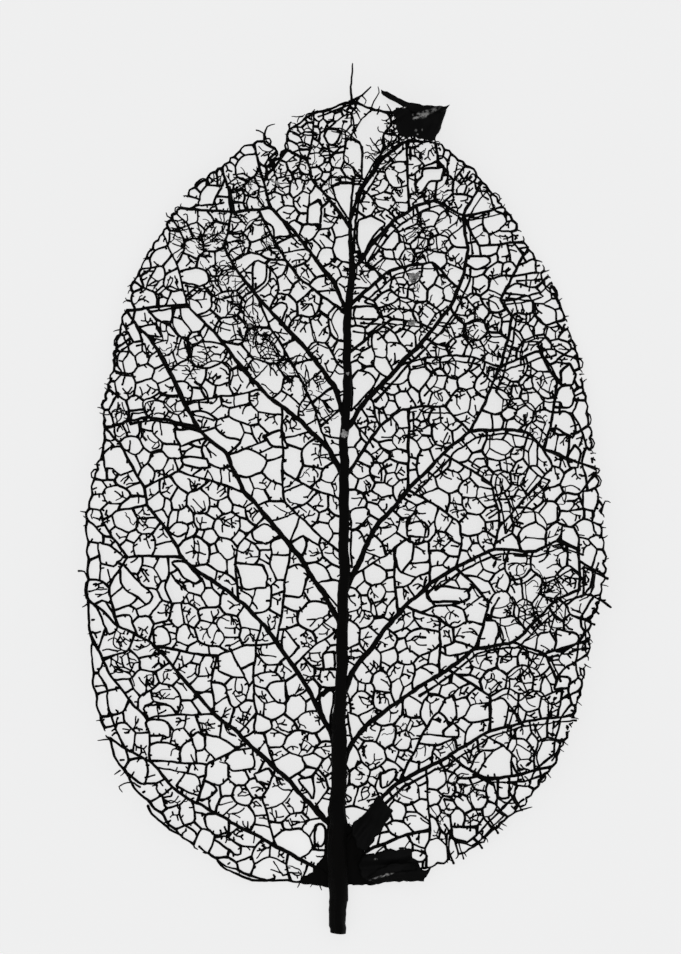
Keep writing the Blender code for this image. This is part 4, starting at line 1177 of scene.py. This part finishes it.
# %% Widths
THIN_END = ("left_8", "left_5")
ROOT_WIDTHS = {"left_1": 0.52, "left_4": 0.74, "left_7": 0.58, "left_8": 0.5, "right_1": 0.5,
               "right_4": 0.74, "right_5": 0.74, "right_6": 0.46, "right_8": 0.4, "right_9": 0.48,
               "right_10": 0.52,
               "strand_left": 0.28, "strand_right": 0.56}


def width_of(name, draw, share=1.0):
    """The width along a named vein, as a function of place and of how far along its thread that is."""
    kind = kind_of(name)
    if kind == "side":
        root, end = ROOT_WIDTHS.get(name, 0.68), 0.2 if name in THIN_END else 0.32
        start = Vector(ROUTES[name][0])
        reach = (Vector(ROUTES[name][-1]) - start).length
        return lambda place, along: share * (root + (end - root) * min(1, (place - start).length / reach))
    low, high = {"loop": (0.31, 0.39), "cross": (0.29, 0.37), "coarse": (0.26, 0.33), "fine": (0.2, 0.27),
                 "rim": (0.26, 0.34), "margin": (0.22, 0.3)}[kind]
    width = draw.uniform(low, high) * share
    return lambda place, along: width


# %% Side veins and net as threads
draw = random.Random(SEED + 5)
side_threads, cord_threads = Threads(8), Threads(6)
coarse_threads, fine_threads = Threads(6), Threads(6)
groups = {"side": side_threads, "loop": cord_threads, "cross": cord_threads, "coarse": coarse_threads,
          "rim": coarse_threads, "fine": fine_threads}
for name, row in veins_of(upper_net):
    if kind_of(name) in groups:
        thread_along(groups[kind_of(name)], [upper_net.points[n] for n in row], width_of(name, draw))
side_threads.piece("side_veins", fibre)
cord_threads.piece("looping_cords", fine_fibre)
coarse_threads.piece("coarse_net", fine_fibre)
fine_threads.piece("fine_net", fine_fibre)

# %% [markdown]
# ## Midrib and stalk
#
# The midrib is a bundle of fibres, so it is swept with shallow ridges that run along it. It is thickest
# where it enters the blade, and the stalk below is cut off square. At its top it parts into two strands.

# %% Midrib and stalk
midrib_line = smooth_route([(0.05, -STALK_LENGTH - 0.1), (0.03, -3), *MIDRIB], 0.5)
MIDRIB_SIDES = 24
midrib_threads = Threads(MIDRIB_SIDES)
halves = [midrib_width(place.y) / 2 for place in midrib_line]


def fibre_ridges(k, turn):
    place = midrib_line[k]
    angle = turn * math.tau / MIDRIB_SIDES
    around = Vector((math.cos(angle) * 1.9, math.sin(angle) * 1.9, place.y * 0.14))
    rough = Vector((math.cos(angle) * 4, math.sin(angle) * 4, place.y * 0.9))
    flat = 1 - 0.24 * abs(math.sin(angle))
    return flat * (1 + 0.16 * noise.noise(around) + 0.07 * noise.noise(rough))


midrib_threads.add([lay(place, max(THREAD_RISE, half)) for place, half in zip(midrib_line, halves)], halves,
                   fibre_ridges, 0.04)
midrib_threads.piece("midrib_and_stalk", fibre)

# %% [markdown]
# ## The edge
#
# The vein round the edge isn't one smooth line: it runs in small scallops, here and there it is torn
# away, and little hairs stand out of it where meshes outside it have gone. Only the lower left stretch is
# smooth.

# %% Edge vein
LONGEST_PLAIN, SCALLOP = 1.9, 1.3
TORN_SHARE, ARCH_SHARE = 0.11, 0.2


def edge_rows(net):
    """The edge from one fork to the next, and a long part in several scallops."""
    for _, row in veins_of(net, lambda name, middle: name == "margin"):
        part = [row[0]]
        for number in row[1:]:
            part.append(number)
            if len(net.links[number]) > 2 or number == row[-1]:
                places = [net.points[n] for n in part]
                a, b = places[0], places[-1]
                part = [number]
                if (b - a).length < LONGEST_PLAIN or (a.x < 0 and a.y < 45) or (a.y > 91 and a.x > -3):
                    yield places
                else:
                    places = smooth_route(places, SCALLOP)
                    yield from ([c, d] for c, d in zip(places, places[1:]))


draw = random.Random(SEED + 6)
edge_threads, hair_threads = Threads(6), Threads(5)
torn = 0
for ends in edge_rows(upper_net):
    a, b = ends[0], ends[-1]
    out, length = outward(a, b), (b - a).length
    over_split = (a.y + b.y) / 2 > 91.5 and a.x > -4.5
    out = out * 0.01 if over_split else out
    low_left = a.x < 0 and a.y < 45
    most = 0.12 if low_left else 0.3
    bow = [place + out * draw.uniform(0.05, most * 0.8) * length for place in ends[1:-1]] or \
        [(a + b) / 2 + out * draw.uniform(0.06, most) * length]
    width = draw.uniform(0.24, 0.34) if low_left else 0.28 if over_split else draw.uniform(0.2, 0.3)
    if draw.random() < (0.03 if low_left else 0 if a.y > 88 and abs(a.x) < 6.5 else TORN_SHARE):
        torn += 1
        for end, near in ((a, bow[0]), (b, bow[-1])):
            stop = end.lerp(near, draw.uniform(0.4, 0.9)) + out * draw.uniform(0, 0.3)
            thread_along(hair_threads, [end, (end + stop) / 2 + out * 0.1, stop], lambda *_: width * 0.8,
                         swell=(0.4, -0.4))
    else:
        thread_along(edge_threads, [a, *bow, b], lambda *_: width)
    if draw.random() < ARCH_SHARE and not over_split and a.y > 2 and b.y > 2 and length > 0.8:
        reach = draw.uniform(0.4, 0.7)
        arch = [a, *(a.lerp(b, along) + out * reach * share
                     for along, share in ((0.15, 0.7), (0.5, 1), (0.85, 0.7))), b]
        thread_along(edge_threads, arch, lambda *_: draw.uniform(0.17, 0.22))
edge_threads.piece("edge_vein", fine_fibre)
print("torn parts of the edge:", torn)

# %% [markdown]
# ## Veinlets
#
# Inside the meshes the finest veins end freely. They start on a side, wander inwards, fork once or twice
# and stop before they touch anything. The real ones are what fed the green cells.

# %% Veinlets
VEINLET_STEP = 0.17


def clear_of(point, walls):
    """Distance from a point to the nearest wall."""
    best = 9.0
    for a, b in walls:
        along = b - a
        t = min(1, max(0, (point - a).dot(along) / max(along.length_squared, 1e-9)))
        best = min(best, (a + along * t - point).length_squared)
    return math.sqrt(best)


def grow_veinlet(point, heading, length, walls, draw, forks, found):
    """Wanders inwards in short steps, and forks; adds its route to found and its parts to the walls."""
    route, gone, turn = [point], 0.0, draw.gauss(0, 0.08)
    while gone < length:
        heading += turn + draw.gauss(0, 0.12) + (draw.random() < 0.12) * draw.uniform(-0.8, 0.8)
        step = Vector((math.cos(heading), math.sin(heading))) * VEINLET_STEP
        if gone > 0.3 and clear_of(point + step * 1.6, walls) < 0.27:
            break
        point = point + step
        route.append(point)
        gone += VEINLET_STEP
        if forks and gone > 0.3 and length - gone > 0.3 and draw.random() < 0.3:
            side = draw.choice((-1, 1)) * draw.uniform(0.6, 1.15)
            before = list(zip(route[:-2], route[1:-1]))
            grow_veinlet(point, heading + side, (length - gone) * draw.uniform(0.6, 1), walls + before,
                         draw, forks - 1, found)
            heading -= side * 0.5
            forks -= 1
    if len(route) > 1:
        found.append(route)
        walls.extend(zip(route, route[1:]))


def veinlets_of(net, draw, each):
    """Free-ending veins for every mesh, about one for so much of its area."""
    found = []
    for number, ring in net.meshes.items():
        corners = net.corners(number)
        area = ring_area(corners)
        bare = is_open(net, ring)
        if area > 30 or draw.random() < 0.14:
            continue
        walls = list(zip(corners, corners[1:] + corners[:1]))
        lengths = [(b - a).length for a, b in walls]
        for _ in range(int(area / (each + 1.5 * bare) + draw.random())):
            k = draw.choices(range(len(corners)), lengths)[0]
            a, b = corners[k], corners[(k + 1) % len(corners)]
            inward = math.atan2((b - a).x, -(b - a).y)
            length = draw.uniform(0.5, 1.2) * math.sqrt(area)
            length = draw.uniform(0.15, 0.45) if bare or draw.random() < 0.4 else length
            start = a.lerp(b, draw.uniform(0.2, 0.8))
            others = [wall for wall in walls if wall != (a, b)]
            grow_veinlet(start, inward + draw.gauss(0, 0.45), length, others, draw, 2, found)
            walls = others + [(a, b)]
    return found


draw = random.Random(SEED + 7)
veinlet_threads = Threads(5)
for route in veinlets_of(upper_net, draw, 1.6):
    width = draw.uniform(0.16, 0.23)
    bends = [route[0], *route[2:-1:2], route[-1]]
    thread_along(veinlet_threads, bends, lambda *_: width, swell=(0.5, 0.1))
veinlet_threads.piece("veinlets", fine_fibre)

# %% [markdown]
# ## The lower layer
#
# The two faces of the leaf have parted over its right half and here and there on the upper left: a second
# net lies a little lower and to the side, so the stronger veins look doubled there. It grows from the
# same coarse net, but its finer meshes come from another draw, because a plain copy would show every mesh
# twice. It is torn too.

# %% Lower layer
UNDER_SHIFT = Vector((0.6, -0.6))


def in_lower_layer(x, y):
    """Where the lower layer is still there."""
    patches = noise.noise(Vector((x * 0.11, y * 0.11, 5.2)))
    patches += 0.4 * noise.noise(Vector((x * 0.4, y * 0.4, 8.2)))
    if x > 1:
        near_midrib = 0.8 * (x < 12 and y < 50)
        bare = 0.35 * (y < 18 and not 6 < x < 18) + 0.3 * (20 < x < 29 and 39 < y < 47)
        return patches + 0.12 - bare - 0.5 * (x > 26) - near_midrib > 0
    return y > 55 and patches > 0.08


def lower_wanted(name, middle):
    kind, (x, y) = kind_of(name), middle
    if kind in ("margin", "midrib") or in_open_mesh(middle + UNDER_SHIFT):
        return False
    if kind == "side":
        if name in ("left_4", "left_5"):
            return y > (55 if name == "left_4" else 61)
        return x > (5 if y < 20 else 9 if y < 58 else 4 if y < 70 else 2.4)
    return in_lower_layer(x, y)


lower_net = grow_net(SEED + 3, 1.35)
draw = random.Random(SEED + 8)
lower_threads = Threads(6)
lower_rows = list(veins_of(lower_net, lower_wanted))
ends_at = Counter(number for _, row in lower_rows for number in set(row))
for name, row in lower_rows:
    if all(ends_at[number] < 2 for number in row):
        continue
    share = 0.62 if kind_of(name) == "side" else 0.75
    apart = 1 if lower_net.points[row[0]].x > 0 else 0.9 if kind_of(name) == "side" else 0.5
    route = [lower_net.points[n] + UNDER_SHIFT * apart for n in row]
    thread_along(lower_threads, route, width_of(name, draw, share), rise=-0.22, layer=1)
lower_threads.piece("lower_net", fine_fibre)

# %% [markdown]
# ## Tangles
#
# Where the net was torn, its loose threads have drawn together into dark wisps, thickest in a band from
# the upper left down to the midrib. Each wisp is a handful of thin threads that lie over the net and lean
# mostly one way.

# %% Tangles
BAND = [(-20.8, 79.4), (-16.6, 77), (-13.6, 77.6), (-12.4, 74.6), (-14.8, 72.8), (-11.8, 70.4),
        (-10.6, 66.8), (-7.6, 63.8), (-4.6, 60.8), (-2.2, 58.4), (-1.6, 54.8)]
KNOTS = [(-17.8, 63.2, 2.4), (-8.5, 77.6, 1.6), (-7, 84.8, 1.4), (-1.2, 89, 2), (10.7, 76.8, 2.8),
         (15.5, 70.2, 1.6), (15.2, 67.1, 2.2), (24.8, 33.8, 3), (28.1, 23.6, 1.4), (2.9, 12.8, 0.9),
         (14, 15.6, 1.2), (-26.6, 56.2, 1.6), (8, 44.6, 1.2), (22.1, 47.6, 1.8), (2.9, 74.6, 1.6),
         (6.3, 92, 1), (6.6, 90, 1.2), (5.2, 87.7, 0.9), (-10, 85, 1.6), (12, 84, 2), (-15.6, 73.2, 1.4),
         (-4.4, 1.6, 0.8), (-2.6, 4, 0.7), (9.5, 90, 1), (5, 88, 0.9), (4.4, 86.4, 0.5), (6.6, 91.2, 0.7),
         (10.4, 89.3, 0.9), (-4, 92, 1), (-8, 80, 1.4), (6.4, 89.2, 0.9), (7.8, 89.6, 0.8),
         (9, 89.4, 0.9), (6.8, 92.6, 0.7), (1, 90.6, 0.9), (0.4, 92.4, 0.9), (5.1, 88.4, 0.7),
         (4.8, 87.5, 0.6), (5.8, 88.9, 0.8), (6.2, 90.6, 0.5), (1.3, 7.5, 0.5), (-15, 79, 1.3),
         (-19.2, 79.2, 0.9), (-5.2, 73.3, 0.7), (-0.8, 71.2, 0.9), (-9.8, 66.8, 1.3), (-8.3, 65.2, 1.3),
         (-7.2, 76.6, 0.8), (-3.3, 85.6, 0.8), (4.6, 86.8, 0.6), (1.6, 85.6, 0.7), (-1, 88.4, 1.1),
         (0.4, 86.4, 0.6), (-2.4, 83.8, 0.6), (8.6, 89.8, 0.8), (7.3, 90.8, 0.7), (10.8, 88.8, 0.7),
         (6.8, 93, 0.5), (-16.8, 77.8, 1.2), (-14.2, 85.6, 0.7), (9.5, 71.9, 0.5), (-0.4, 85.1, 0.6),
         (-1.3, 84.3, 0.5), (14.7, 13, 1.1), (12.8, 16.8, 0.7), (12.9, 8, 0.9), (8.8, 15.4, 0.8),
         (16.2, 11.2, 0.8), (12.2, 6, 0.6)]

WISP_STEP, SCATTERED_WISPS = 0.25, 90

draw = random.Random(SEED + 9)
knot_threads = Threads(5)
edge_rim = [(place, False) for place in EDGE_PLACES]
band = smooth_route(BAND, 1.6)
wisps = [(*a, 1.4, math.atan2(*(b - a).yx), False) for a, b in zip(band, band[1:])]
wisps += [(*knot, draw.uniform(0, math.pi), True) for knot in KNOTS]
wisps += [(draw.uniform(-26, 28), 86 - 78 * draw.random() ** 1.5, draw.uniform(0.3, 0.8),
           draw.uniform(0, math.pi), False) for _ in range(SCATTERED_WISPS)]
for x, y, radius, lean, drawn in wisps:
    past_edge = abs(x) / 31 > math.sqrt(max(0, 1 - ((y - 47) / 48) ** 2)) * 0.95 and y < 86
    if past_edge or (radius < 0.8 and not drawn and x < 0 and y < 60 and draw.random() < 0.6):
        continue
    for _ in range(max(3, int(radius * radius * 4.2))):
        angle, far = draw.uniform(0, math.tau), radius * math.sqrt(draw.random())
        point = Vector((x + far * math.cos(angle), y + far * math.sin(angle)))
        heading, turn = lean + draw.gauss(0, 0.55) + draw.choice((0, math.pi)), draw.gauss(0, 0.16)
        route = [point]
        for _ in range(draw.randrange(4, 7 + int(4 * min(1, radius)))):
            heading += turn + draw.gauss(0, 0.3 if radius > 0.9 else 0.6)
            point = point + Vector((math.cos(heading), math.sin(heading))) * WISP_STEP
            route.append(point)
        width, rise = draw.uniform(0.14, 0.22), draw.uniform(0.15, 0.6)
        if not (drawn and radius < 1) and any(in_open_mesh(point) for point in route):
            continue
        if not drawn and not all(inside(edge_rim, point) for point in route):
            continue
        thread_along(knot_threads, route, lambda *_: width, rise=rise, swell=(-0.3, -0.3), step=0.3)
knot_threads.piece("tangled_threads", fine_fibre)

# %% [markdown]
# ## Loose threads
#
# The single threads that can be told apart in the photograph are drawn: the arc over the split at the
# tip, the hair that stands up from it, and the stray ends round the edge. After them come hairs at the
# edge by a draw.

# %% Loose threads
LOOSE_THREADS = {
    "top_arc": (0.34, 0.26, [(1.2, 94.1), (1.9, 94.45), (2.9, 95.2), (3.85, 96.1)]),
    "top_arc_lower": (0.24, 0.3, [(-2.4, 92.6), (-0.8, 93.2), (1, 93.65), (1.9, 94), (2.6, 94.8)]),
    "tip_arch_a": (0.22, 0.2, [(-2.4, 93.3), (-3, 93), (-3.7, 92.8), (-4, 92.2)]),
    "tip_arch_b": (0.22, 0.18, [(-4.2, 92.5), (-4.7, 92.4), (-4.9, 91.8)]),
    "tip_arch_c": (0.24, 0.2, [(-5.6, 91.9), (-5.95, 91.6), (-5.8, 91.1), (-5.3, 90.9)]),
    "gap_thread_a": (0.28, 0.2, [(1.8, 94), (2.1, 93.4), (2.6, 92.9)]),
    "gap_thread_b": (0.28, 0.18, [(1.2, 93.4), (2.1, 92.9), (2.8, 91.8)]),
    "gap_thread_c": (0.26, 0.22, [(0.6, 93.2), (1.6, 92.6), (1.9, 91.4), (2, 90.6), (2.3, 89.9)]),
    "gap_thread_d": (0.24, 0.2, [(2, 91.2), (2.2, 90.8), (2, 90.5), (1.8, 90.8), (2, 91.2)]),
    "gap_hair_a": (0.26, 0.2, [(5, 88.3), (4.7, 88.7), (4.3, 89.2)]),
    "gap_hair_b": (0.22, 0.18, [(6.6, 91.75), (6.1, 91.65), (5.6, 91.7)]),
    "gap_hair_c": (0.26, 0.22, [(5.5, 88.4), (5.4, 89.6), (5.6, 90.4), (6.2, 91.2), (6.8, 92)]),
    "gap_hair_d": (0.24, 0.24, [(5.6, 90.4), (6.4, 90.35), (7.2, 90.4)]),
    "ladder_a": (0.22, 0.22, [(1.5, 85), (2.2, 84.95), (2.9, 85)]),
    "ladder_b": (0.22, 0.22, [(1.5, 84.6), (2.2, 84.6), (2.9, 84.6)]),
    "edge_under_a": (0.3, 0.34, [(-14.6, 3), (-13.8, 2), (-12.2, 1.3), (-10.4, 0.6), (-8.6, 0.4),
                                 (-7.6, 0.6)]),
    "edge_under_b": (0.34, 0.3, [(-22.8, 9.7), (-22.2, 8.3), (-20.6, 7.1), (-19.2, 6.2), (-18.7, 6)]),
    "edge_under_c": (0.3, 0.26, [(-16.6, 4.7), (-15.8, 3.8), (-15.1, 3.5)]),
    "tip_hair": (0.32, 0.2, [(1.6, 94.4), (1.6, 96.1), (1.7, 97.6), (1.75, 99)]),
    "strand_beside": (0.36, 0.3, [(1.9, 76), (2.15, 80.2), (2.85, 83.5), (5, 86.75), (7.4, 88.95),
                                  (9.4, 89.85)]),
    "strand_over": (0.26, 0.2, [(2.1, 82), (3.2, 85.1), (4.6, 87.3), (6.8, 89.6), (7.6, 91)]),
    "tip_thread": (0.18, 0.14, [(4, 93.5), (4.3, 94.4), (4.9, 95.4), (4.7, 96.1)]),
    "tip_loop": (0.18, 0.16, [(2.9, 95.1), (3.3, 94.6), (3.1, 94)]),
    "third_strand": (0.24, 0.18, [(2.4, 84.2), (2.7, 85.2), (2.8, 88.8), (1.9, 89.8), (0.9, 90.7),
                                  (-1, 91.1)]),
    "notch_a": (0.3, 0.26, [(-8.9, 90.4), (-8.8, 89.4), (-7.6, 88.6), (-7.3, 87.9), (-8.1, 87)]),
    "notch_b": (0.3, 0.2, [(-8.6, 85.4), (-8.4, 86.6), (-7, 87.5), (-6.1, 88.4), (-6.2, 89.4),
                           (-5.9, 90.8), (-5.7, 91.8)]),
    "notch_c": (0.26, 0.16, [(-8.9, 90.3), (-8.5, 91.2), (-7.6, 91.6)]),
    "notch_d": (0.18, 0.22, [(-9.9, 90.9), (-8.9, 90.5), (-8.6, 89.6)]),
    "stray_a": (0.26, 0.18, [(-31.2, 38), (-30.5, 37.9), (-30, 36.8)]),
    "stray_b": (0.24, 0.16, [(-29.8, 34.1), (-30.7, 33.6)]),
    "stray_c": (0.22, 0.16, [(-26.2, 14), (-27, 13.4)]),
    "stray_d": (0.24, 0.16, [(-23.8, 11.9), (-25, 12.4), (-26.4, 11.9), (-26, 11.2)]),
    "stray_e": (0.22, 0.16, [(-27.4, 17.8), (-28.9, 17.5)]),
    "stray_f": (0.22, 0.16, [(-30.2, 45), (-31, 45.2)]),
    "stray_g": (0.24, 0.18, [(21.1, 8.8), (23.4, 9.4)]),
    "stray_i": (0.22, 0.16, [(-19.9, 79.9), (-20.1, 80.4), (-20.6, 80.75), (-20.7, 81.2)]),
    "stray_h": (0.26, 0.18, [(31.4, 45), (32.2, 46.3), (32.8, 46.2)]),
    "stub": (0.34, 0.42, [(31.4, 34.6), (32.8, 33.6)]),
}


def tapering(root, end):
    return lambda place, along: root + (end - root) * along


for root, end, route in LOOSE_THREADS.values():
    thread_along(hair_threads, route, tapering(root, end), rise=0.3, swell=(0.2, -0.3))
draw = random.Random(SEED + 10)
for a, *_, b in edge_rows(upper_net):
    for _ in range(draw.choice((0, 0, 0, 1, 1))):
        start, out = a.lerp(b, draw.random()), outward(a, b)
        along = (b - a).normalized() * draw.uniform(-0.6, 0.6)
        tip = start + (out + along) * draw.uniform(0.3, 0.9)
        bend = start.lerp(tip, 0.55) + along * draw.uniform(-0.3, 0.3)
        thread_along(hair_threads, [start, bend, tip], tapering(0.2, 0.14), rise=0.2, swell=(0.3, -0.3),
                     step=0.25)
hair_threads.piece("loose_hairs", fine_fibre)


# %% [markdown]
# ## Scraps of blade
#
# What is left of the green blade has dried into thin dark sheets. Each is cut from its outline with a
# ragged rim, filled with small triangles, folded by a formula and given a thickness. Cloth physics would
# wrinkle them too, but a formula keeps the folds where the photograph shows them.

# %% Sheets
ROW = 0.87


def torn_sheet(outline, height_at, thick=0.16, cell=0.3, ragged=0.1, seed=0.0):
    """Places and faces of a thin closed sheet with a ragged rim."""
    ring = []
    for a, b in zip(outline, outline[1:] + outline[:1]):
        a, b = Vector(a), Vector(b)
        count = max(1, round((b - a).length / cell))
        ring += [a.lerp(b, k / count) for k in range(count)]
    ring = [place + noise.noise_vector(Vector((place.x * 1.7, place.y * 1.7, seed))).xy * 2 * ragged
            for place in ring]
    low = Vector((min(p.x for p in ring), min(p.y for p in ring)))
    high = Vector((max(p.x for p in ring), max(p.y for p in ring)))
    grid = [Vector((low.x + (i + 0.5 * (j % 2)) * cell, low.y + j * cell * ROW))
            for i in range(int((high.x - low.x) / cell) + 1)
            for j in range(int((high.y - low.y) / cell / ROW) + 1)]
    walls = list(zip(ring, ring[1:] + ring[:1]))
    grid = [place for place in grid if clear_of(place, walls) > cell * 0.4]
    flat, _, faces, *_ = delaunay_2d_cdt(ring + grid, [], [list(range(len(ring)))], 1, 1e-5)
    kept = {n: k for k, n in enumerate(sorted({n for face in faces for n in face}))}
    flat, faces = [flat[n] for n in kept], [[kept[n] for n in face] for face in faces]
    count = len(flat)
    tops = [lay(p, height_at(p.x, p.y) + thick / 2) for p in flat]
    bottoms = [place - UP * thick for place in tops]
    made = [tuple(face) for face in faces] + [tuple(count + n for n in reversed(face)) for face in faces]
    rims = {}
    for face in faces:
        for a, b in zip(face, list(face[1:]) + [face[0]]):
            rims[(a, b)] = (b, a) not in rims and rims.get((b, a), True)
            if (b, a) in rims:
                rims[(a, b)] = rims[(b, a)] = False
    made += [(b, a, count + a, count + b) for (a, b), open_side in rims.items() if open_side]
    return tops + bottoms, made


def sheet_piece(name, sheets, material, node):
    places, faces = [], []
    for some, their_faces in sheets:
        faces += [tuple(len(places) + n for n in face) for face in their_faces]
        places += some
    make_piece(name, places, faces, material, node)


def crease(x, y, angle, across, seed):
    """Wrinkles that run one way, from minus one to one."""
    u, v = x * math.cos(angle) + y * math.sin(angle), y * math.cos(angle) - x * math.sin(angle)
    return noise.noise(Vector((u * 0.25, v * across, seed))) * 1.4


# %% Web at the foot
WEB_LEFT = [(-0.85, 10.4), (-1.1, 8.6), (-1.4, 7.7), (-1.35, 6.4), (-1.45, 5), (-1.6, 4), (-1.9, 3),
            (-2.5, 2.5), (-2.9, 1.6), (-3.8, 1.2), (-4.8, 0.3), (-2.6, -0.3), (0, -0.4), (0.2, 10.4)]
WEB_RIGHT = [(-0.2, -0.4), (1.6, -0.2), (4.2, -0.1), (6.4, 0.35), (6.2, 2.4), (4.6, 3.6), (2.9, 3.7),
             (3, 4.2), (3.9, 5.3), (4.9, 6.6), (3.6, 7.7), (2.3, 7.6), (1.5, 7.1), (0.9, 7.6), (0, 8.4)]


def web_height(x, y):
    return 0.3 + 0.12 * crease(x, y, 1.4, 1.6, 3)


sheet_piece("foot_web", [torn_sheet(WEB_LEFT, web_height, 0.3, seed=2),
                         torn_sheet(WEB_RIGHT, web_height, 0.3, seed=4)], fibre, "leaf_skeleton")

# %% Scraps at the foot
STRIP = [(1.7, 7.6), (2.4, 7.8), (3.4, 9), (4.5, 10.4), (5.3, 10.8), (5.6, 9.9), (6.7, 9), (5.9, 7.8),
         (5.3, 6.5), (4.1, 5), (3.2, 4.1), (2.2, 4.6), (1.6, 6.2)]
FLAP = [(2.8, 3.5), (4.4, 3.9), (6.4, 4.35), (8.7, 4.25), (8.9, 3.4), (9.6, 2.6), (10.3, 1.8),
        (11.5, 2.1), (10.8, 1.15), (10.4, 0.6), (7.6, 0.35), (6.2, 0.2), (4.8, 0.05), (2.8, 0.9),
        (2.4, 2.4)]
FLAP_FOLD = [(3.4, 0.9), (4.7, 1.9), (6.5, 2.6), (8.9, 2.7), (9.7, 2.1), (8, 1.6), (6.2, 1.3), (4.8, 0.6)]


def strip_height(x, y):
    rim = max(0, (x - 1.7 * (y - 4) / 3.2 - 1.5) * 0.05)
    return 0.85 + 0.3 * crease(x, y, 1.0, 1.1, 7) + rim


def flap_height(x, y):
    return 0.85 + 0.3 * crease(x, y, 0.1, 0.9, 11) + 0.04 * (x - 3)


def fold_height(x, y):
    return flap_height(x, y) + 0.32 + 0.2 * math.sin((y - 1.6) * 1.5)


sheet_piece("base_strip_sheet", [torn_sheet(STRIP, strip_height, seed=6)], old_blade, "base_strip")
sheet_piece("base_flap_sheet", [torn_sheet(FLAP, flap_height, seed=8),
                                torn_sheet(FLAP_FOLD, fold_height, seed=9)],
            old_blade, "base_flap")

# %% Scrap at the tip
TIP_BLADE = [(5.05, 95.7), (6.4, 95), (7.9, 94.4), (9.2, 94.05), (10.4, 93.8), (11.8, 93.65),
             (12.6, 93.6), (13.45, 93.8), (12.9, 93), (11, 92.8), (8.9, 93), (8.1, 93.6), (7.2, 94),
             (6.2, 94.3), (5.2, 95.2)]
TIP_BODY = [(9.4, 93.3), (8.2, 93.55), (7, 93.4), (6.4, 93), (6.9, 91.9), (7, 90.6), (7.6, 89.8),
            (8.9, 90.1), (9.9, 89.9), (11.2, 89.5), (11.6, 89.8), (12.35, 91.5), (13.1, 93.2), (11, 93.1)]


def tip_blade_height(x, y):
    return 1.35 + 0.1 * (x - 9) + 0.25 * crease(x, y, -0.2, 1.3, 13)


def tip_body_height(x, y):
    return 0.95 + 0.4 * crease(x, y, 0.9, 0.8, 17)


sheet_piece("tip_scrap_sheet", [torn_sheet(TIP_BLADE, tip_blade_height, ragged=0.05, seed=10),
                                torn_sheet(TIP_BODY, tip_body_height, seed=12)],
            old_blade, "tip_scrap")

# %% [markdown]
# ## Crumbs
#
# A few pale crumbs of dried tissue have stuck to the net, two of them on the midrib. A crumb is many
# small grains, each of which sticks to an earlier one, because one smooth lump would look like a bead.

# %% Crumbs
CRUMBS = [(0.8, 54.4, 0.42, 0.8, 0.95), (9.1, 73.1, 0.95, 0.9, 0.36), (-10.6, 67.2, 0.6, 0.35, 0.36),
          (1.1, 61.4, 0.14, 0.4, 0.85), (-7.2, 84.3, 0.3, 0.25, 0.36), (8.8, 67.7, 0.45, 0.4, 0.36)]
draw = random.Random(SEED + 11)
for number, (x, y, half_wide, half_long, rise) in enumerate(CRUMBS, 1):
    grains = [(x, y, 0.15)]
    for _ in range(int(190 * half_wide * half_long) + 8):
        (a, b, beside), radius = draw.choice(grains), draw.uniform(0.07, 0.16)
        angle = draw.uniform(0, math.tau)
        a, b = a + (beside + radius) * 0.8 * math.cos(angle), b + (beside + radius) * 0.8 * math.sin(angle)
        if ((a - x) / half_wide) ** 2 + ((b - y) / half_long) ** 2 < 1:
            grains.append((a, b, radius))
    lump = bmesh.new()
    for a, b, radius in grains:
        shape = Matrix.Translation(lay(Vector((a, b)), rise)) @ Matrix.Diagonal((1, 1, 0.7, 1)) \
            @ Matrix.Rotation(draw.uniform(0, 3), 4, "X")
        bmesh.ops.create_icosphere(lump, subdivisions=1, radius=radius, matrix=shape)
    lump.verts.index_update()
    faces = [tuple(vert.index for vert in face.verts) for face in lump.faces]
    make_piece(f"pale_crumb_{number}", [vert.co.copy() for vert in lump.verts], faces, crumb,
               "leaf_skeleton")
    lump.free()

# %% [markdown]
# ## Finish
#
# The solid model's box and the visual model's box are printed.

# %% Finish
visual_box = [list(corner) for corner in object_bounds()]
print("visual box, mm:", [[round(value * 1000, 1) for value in corner] for corner in visual_box])
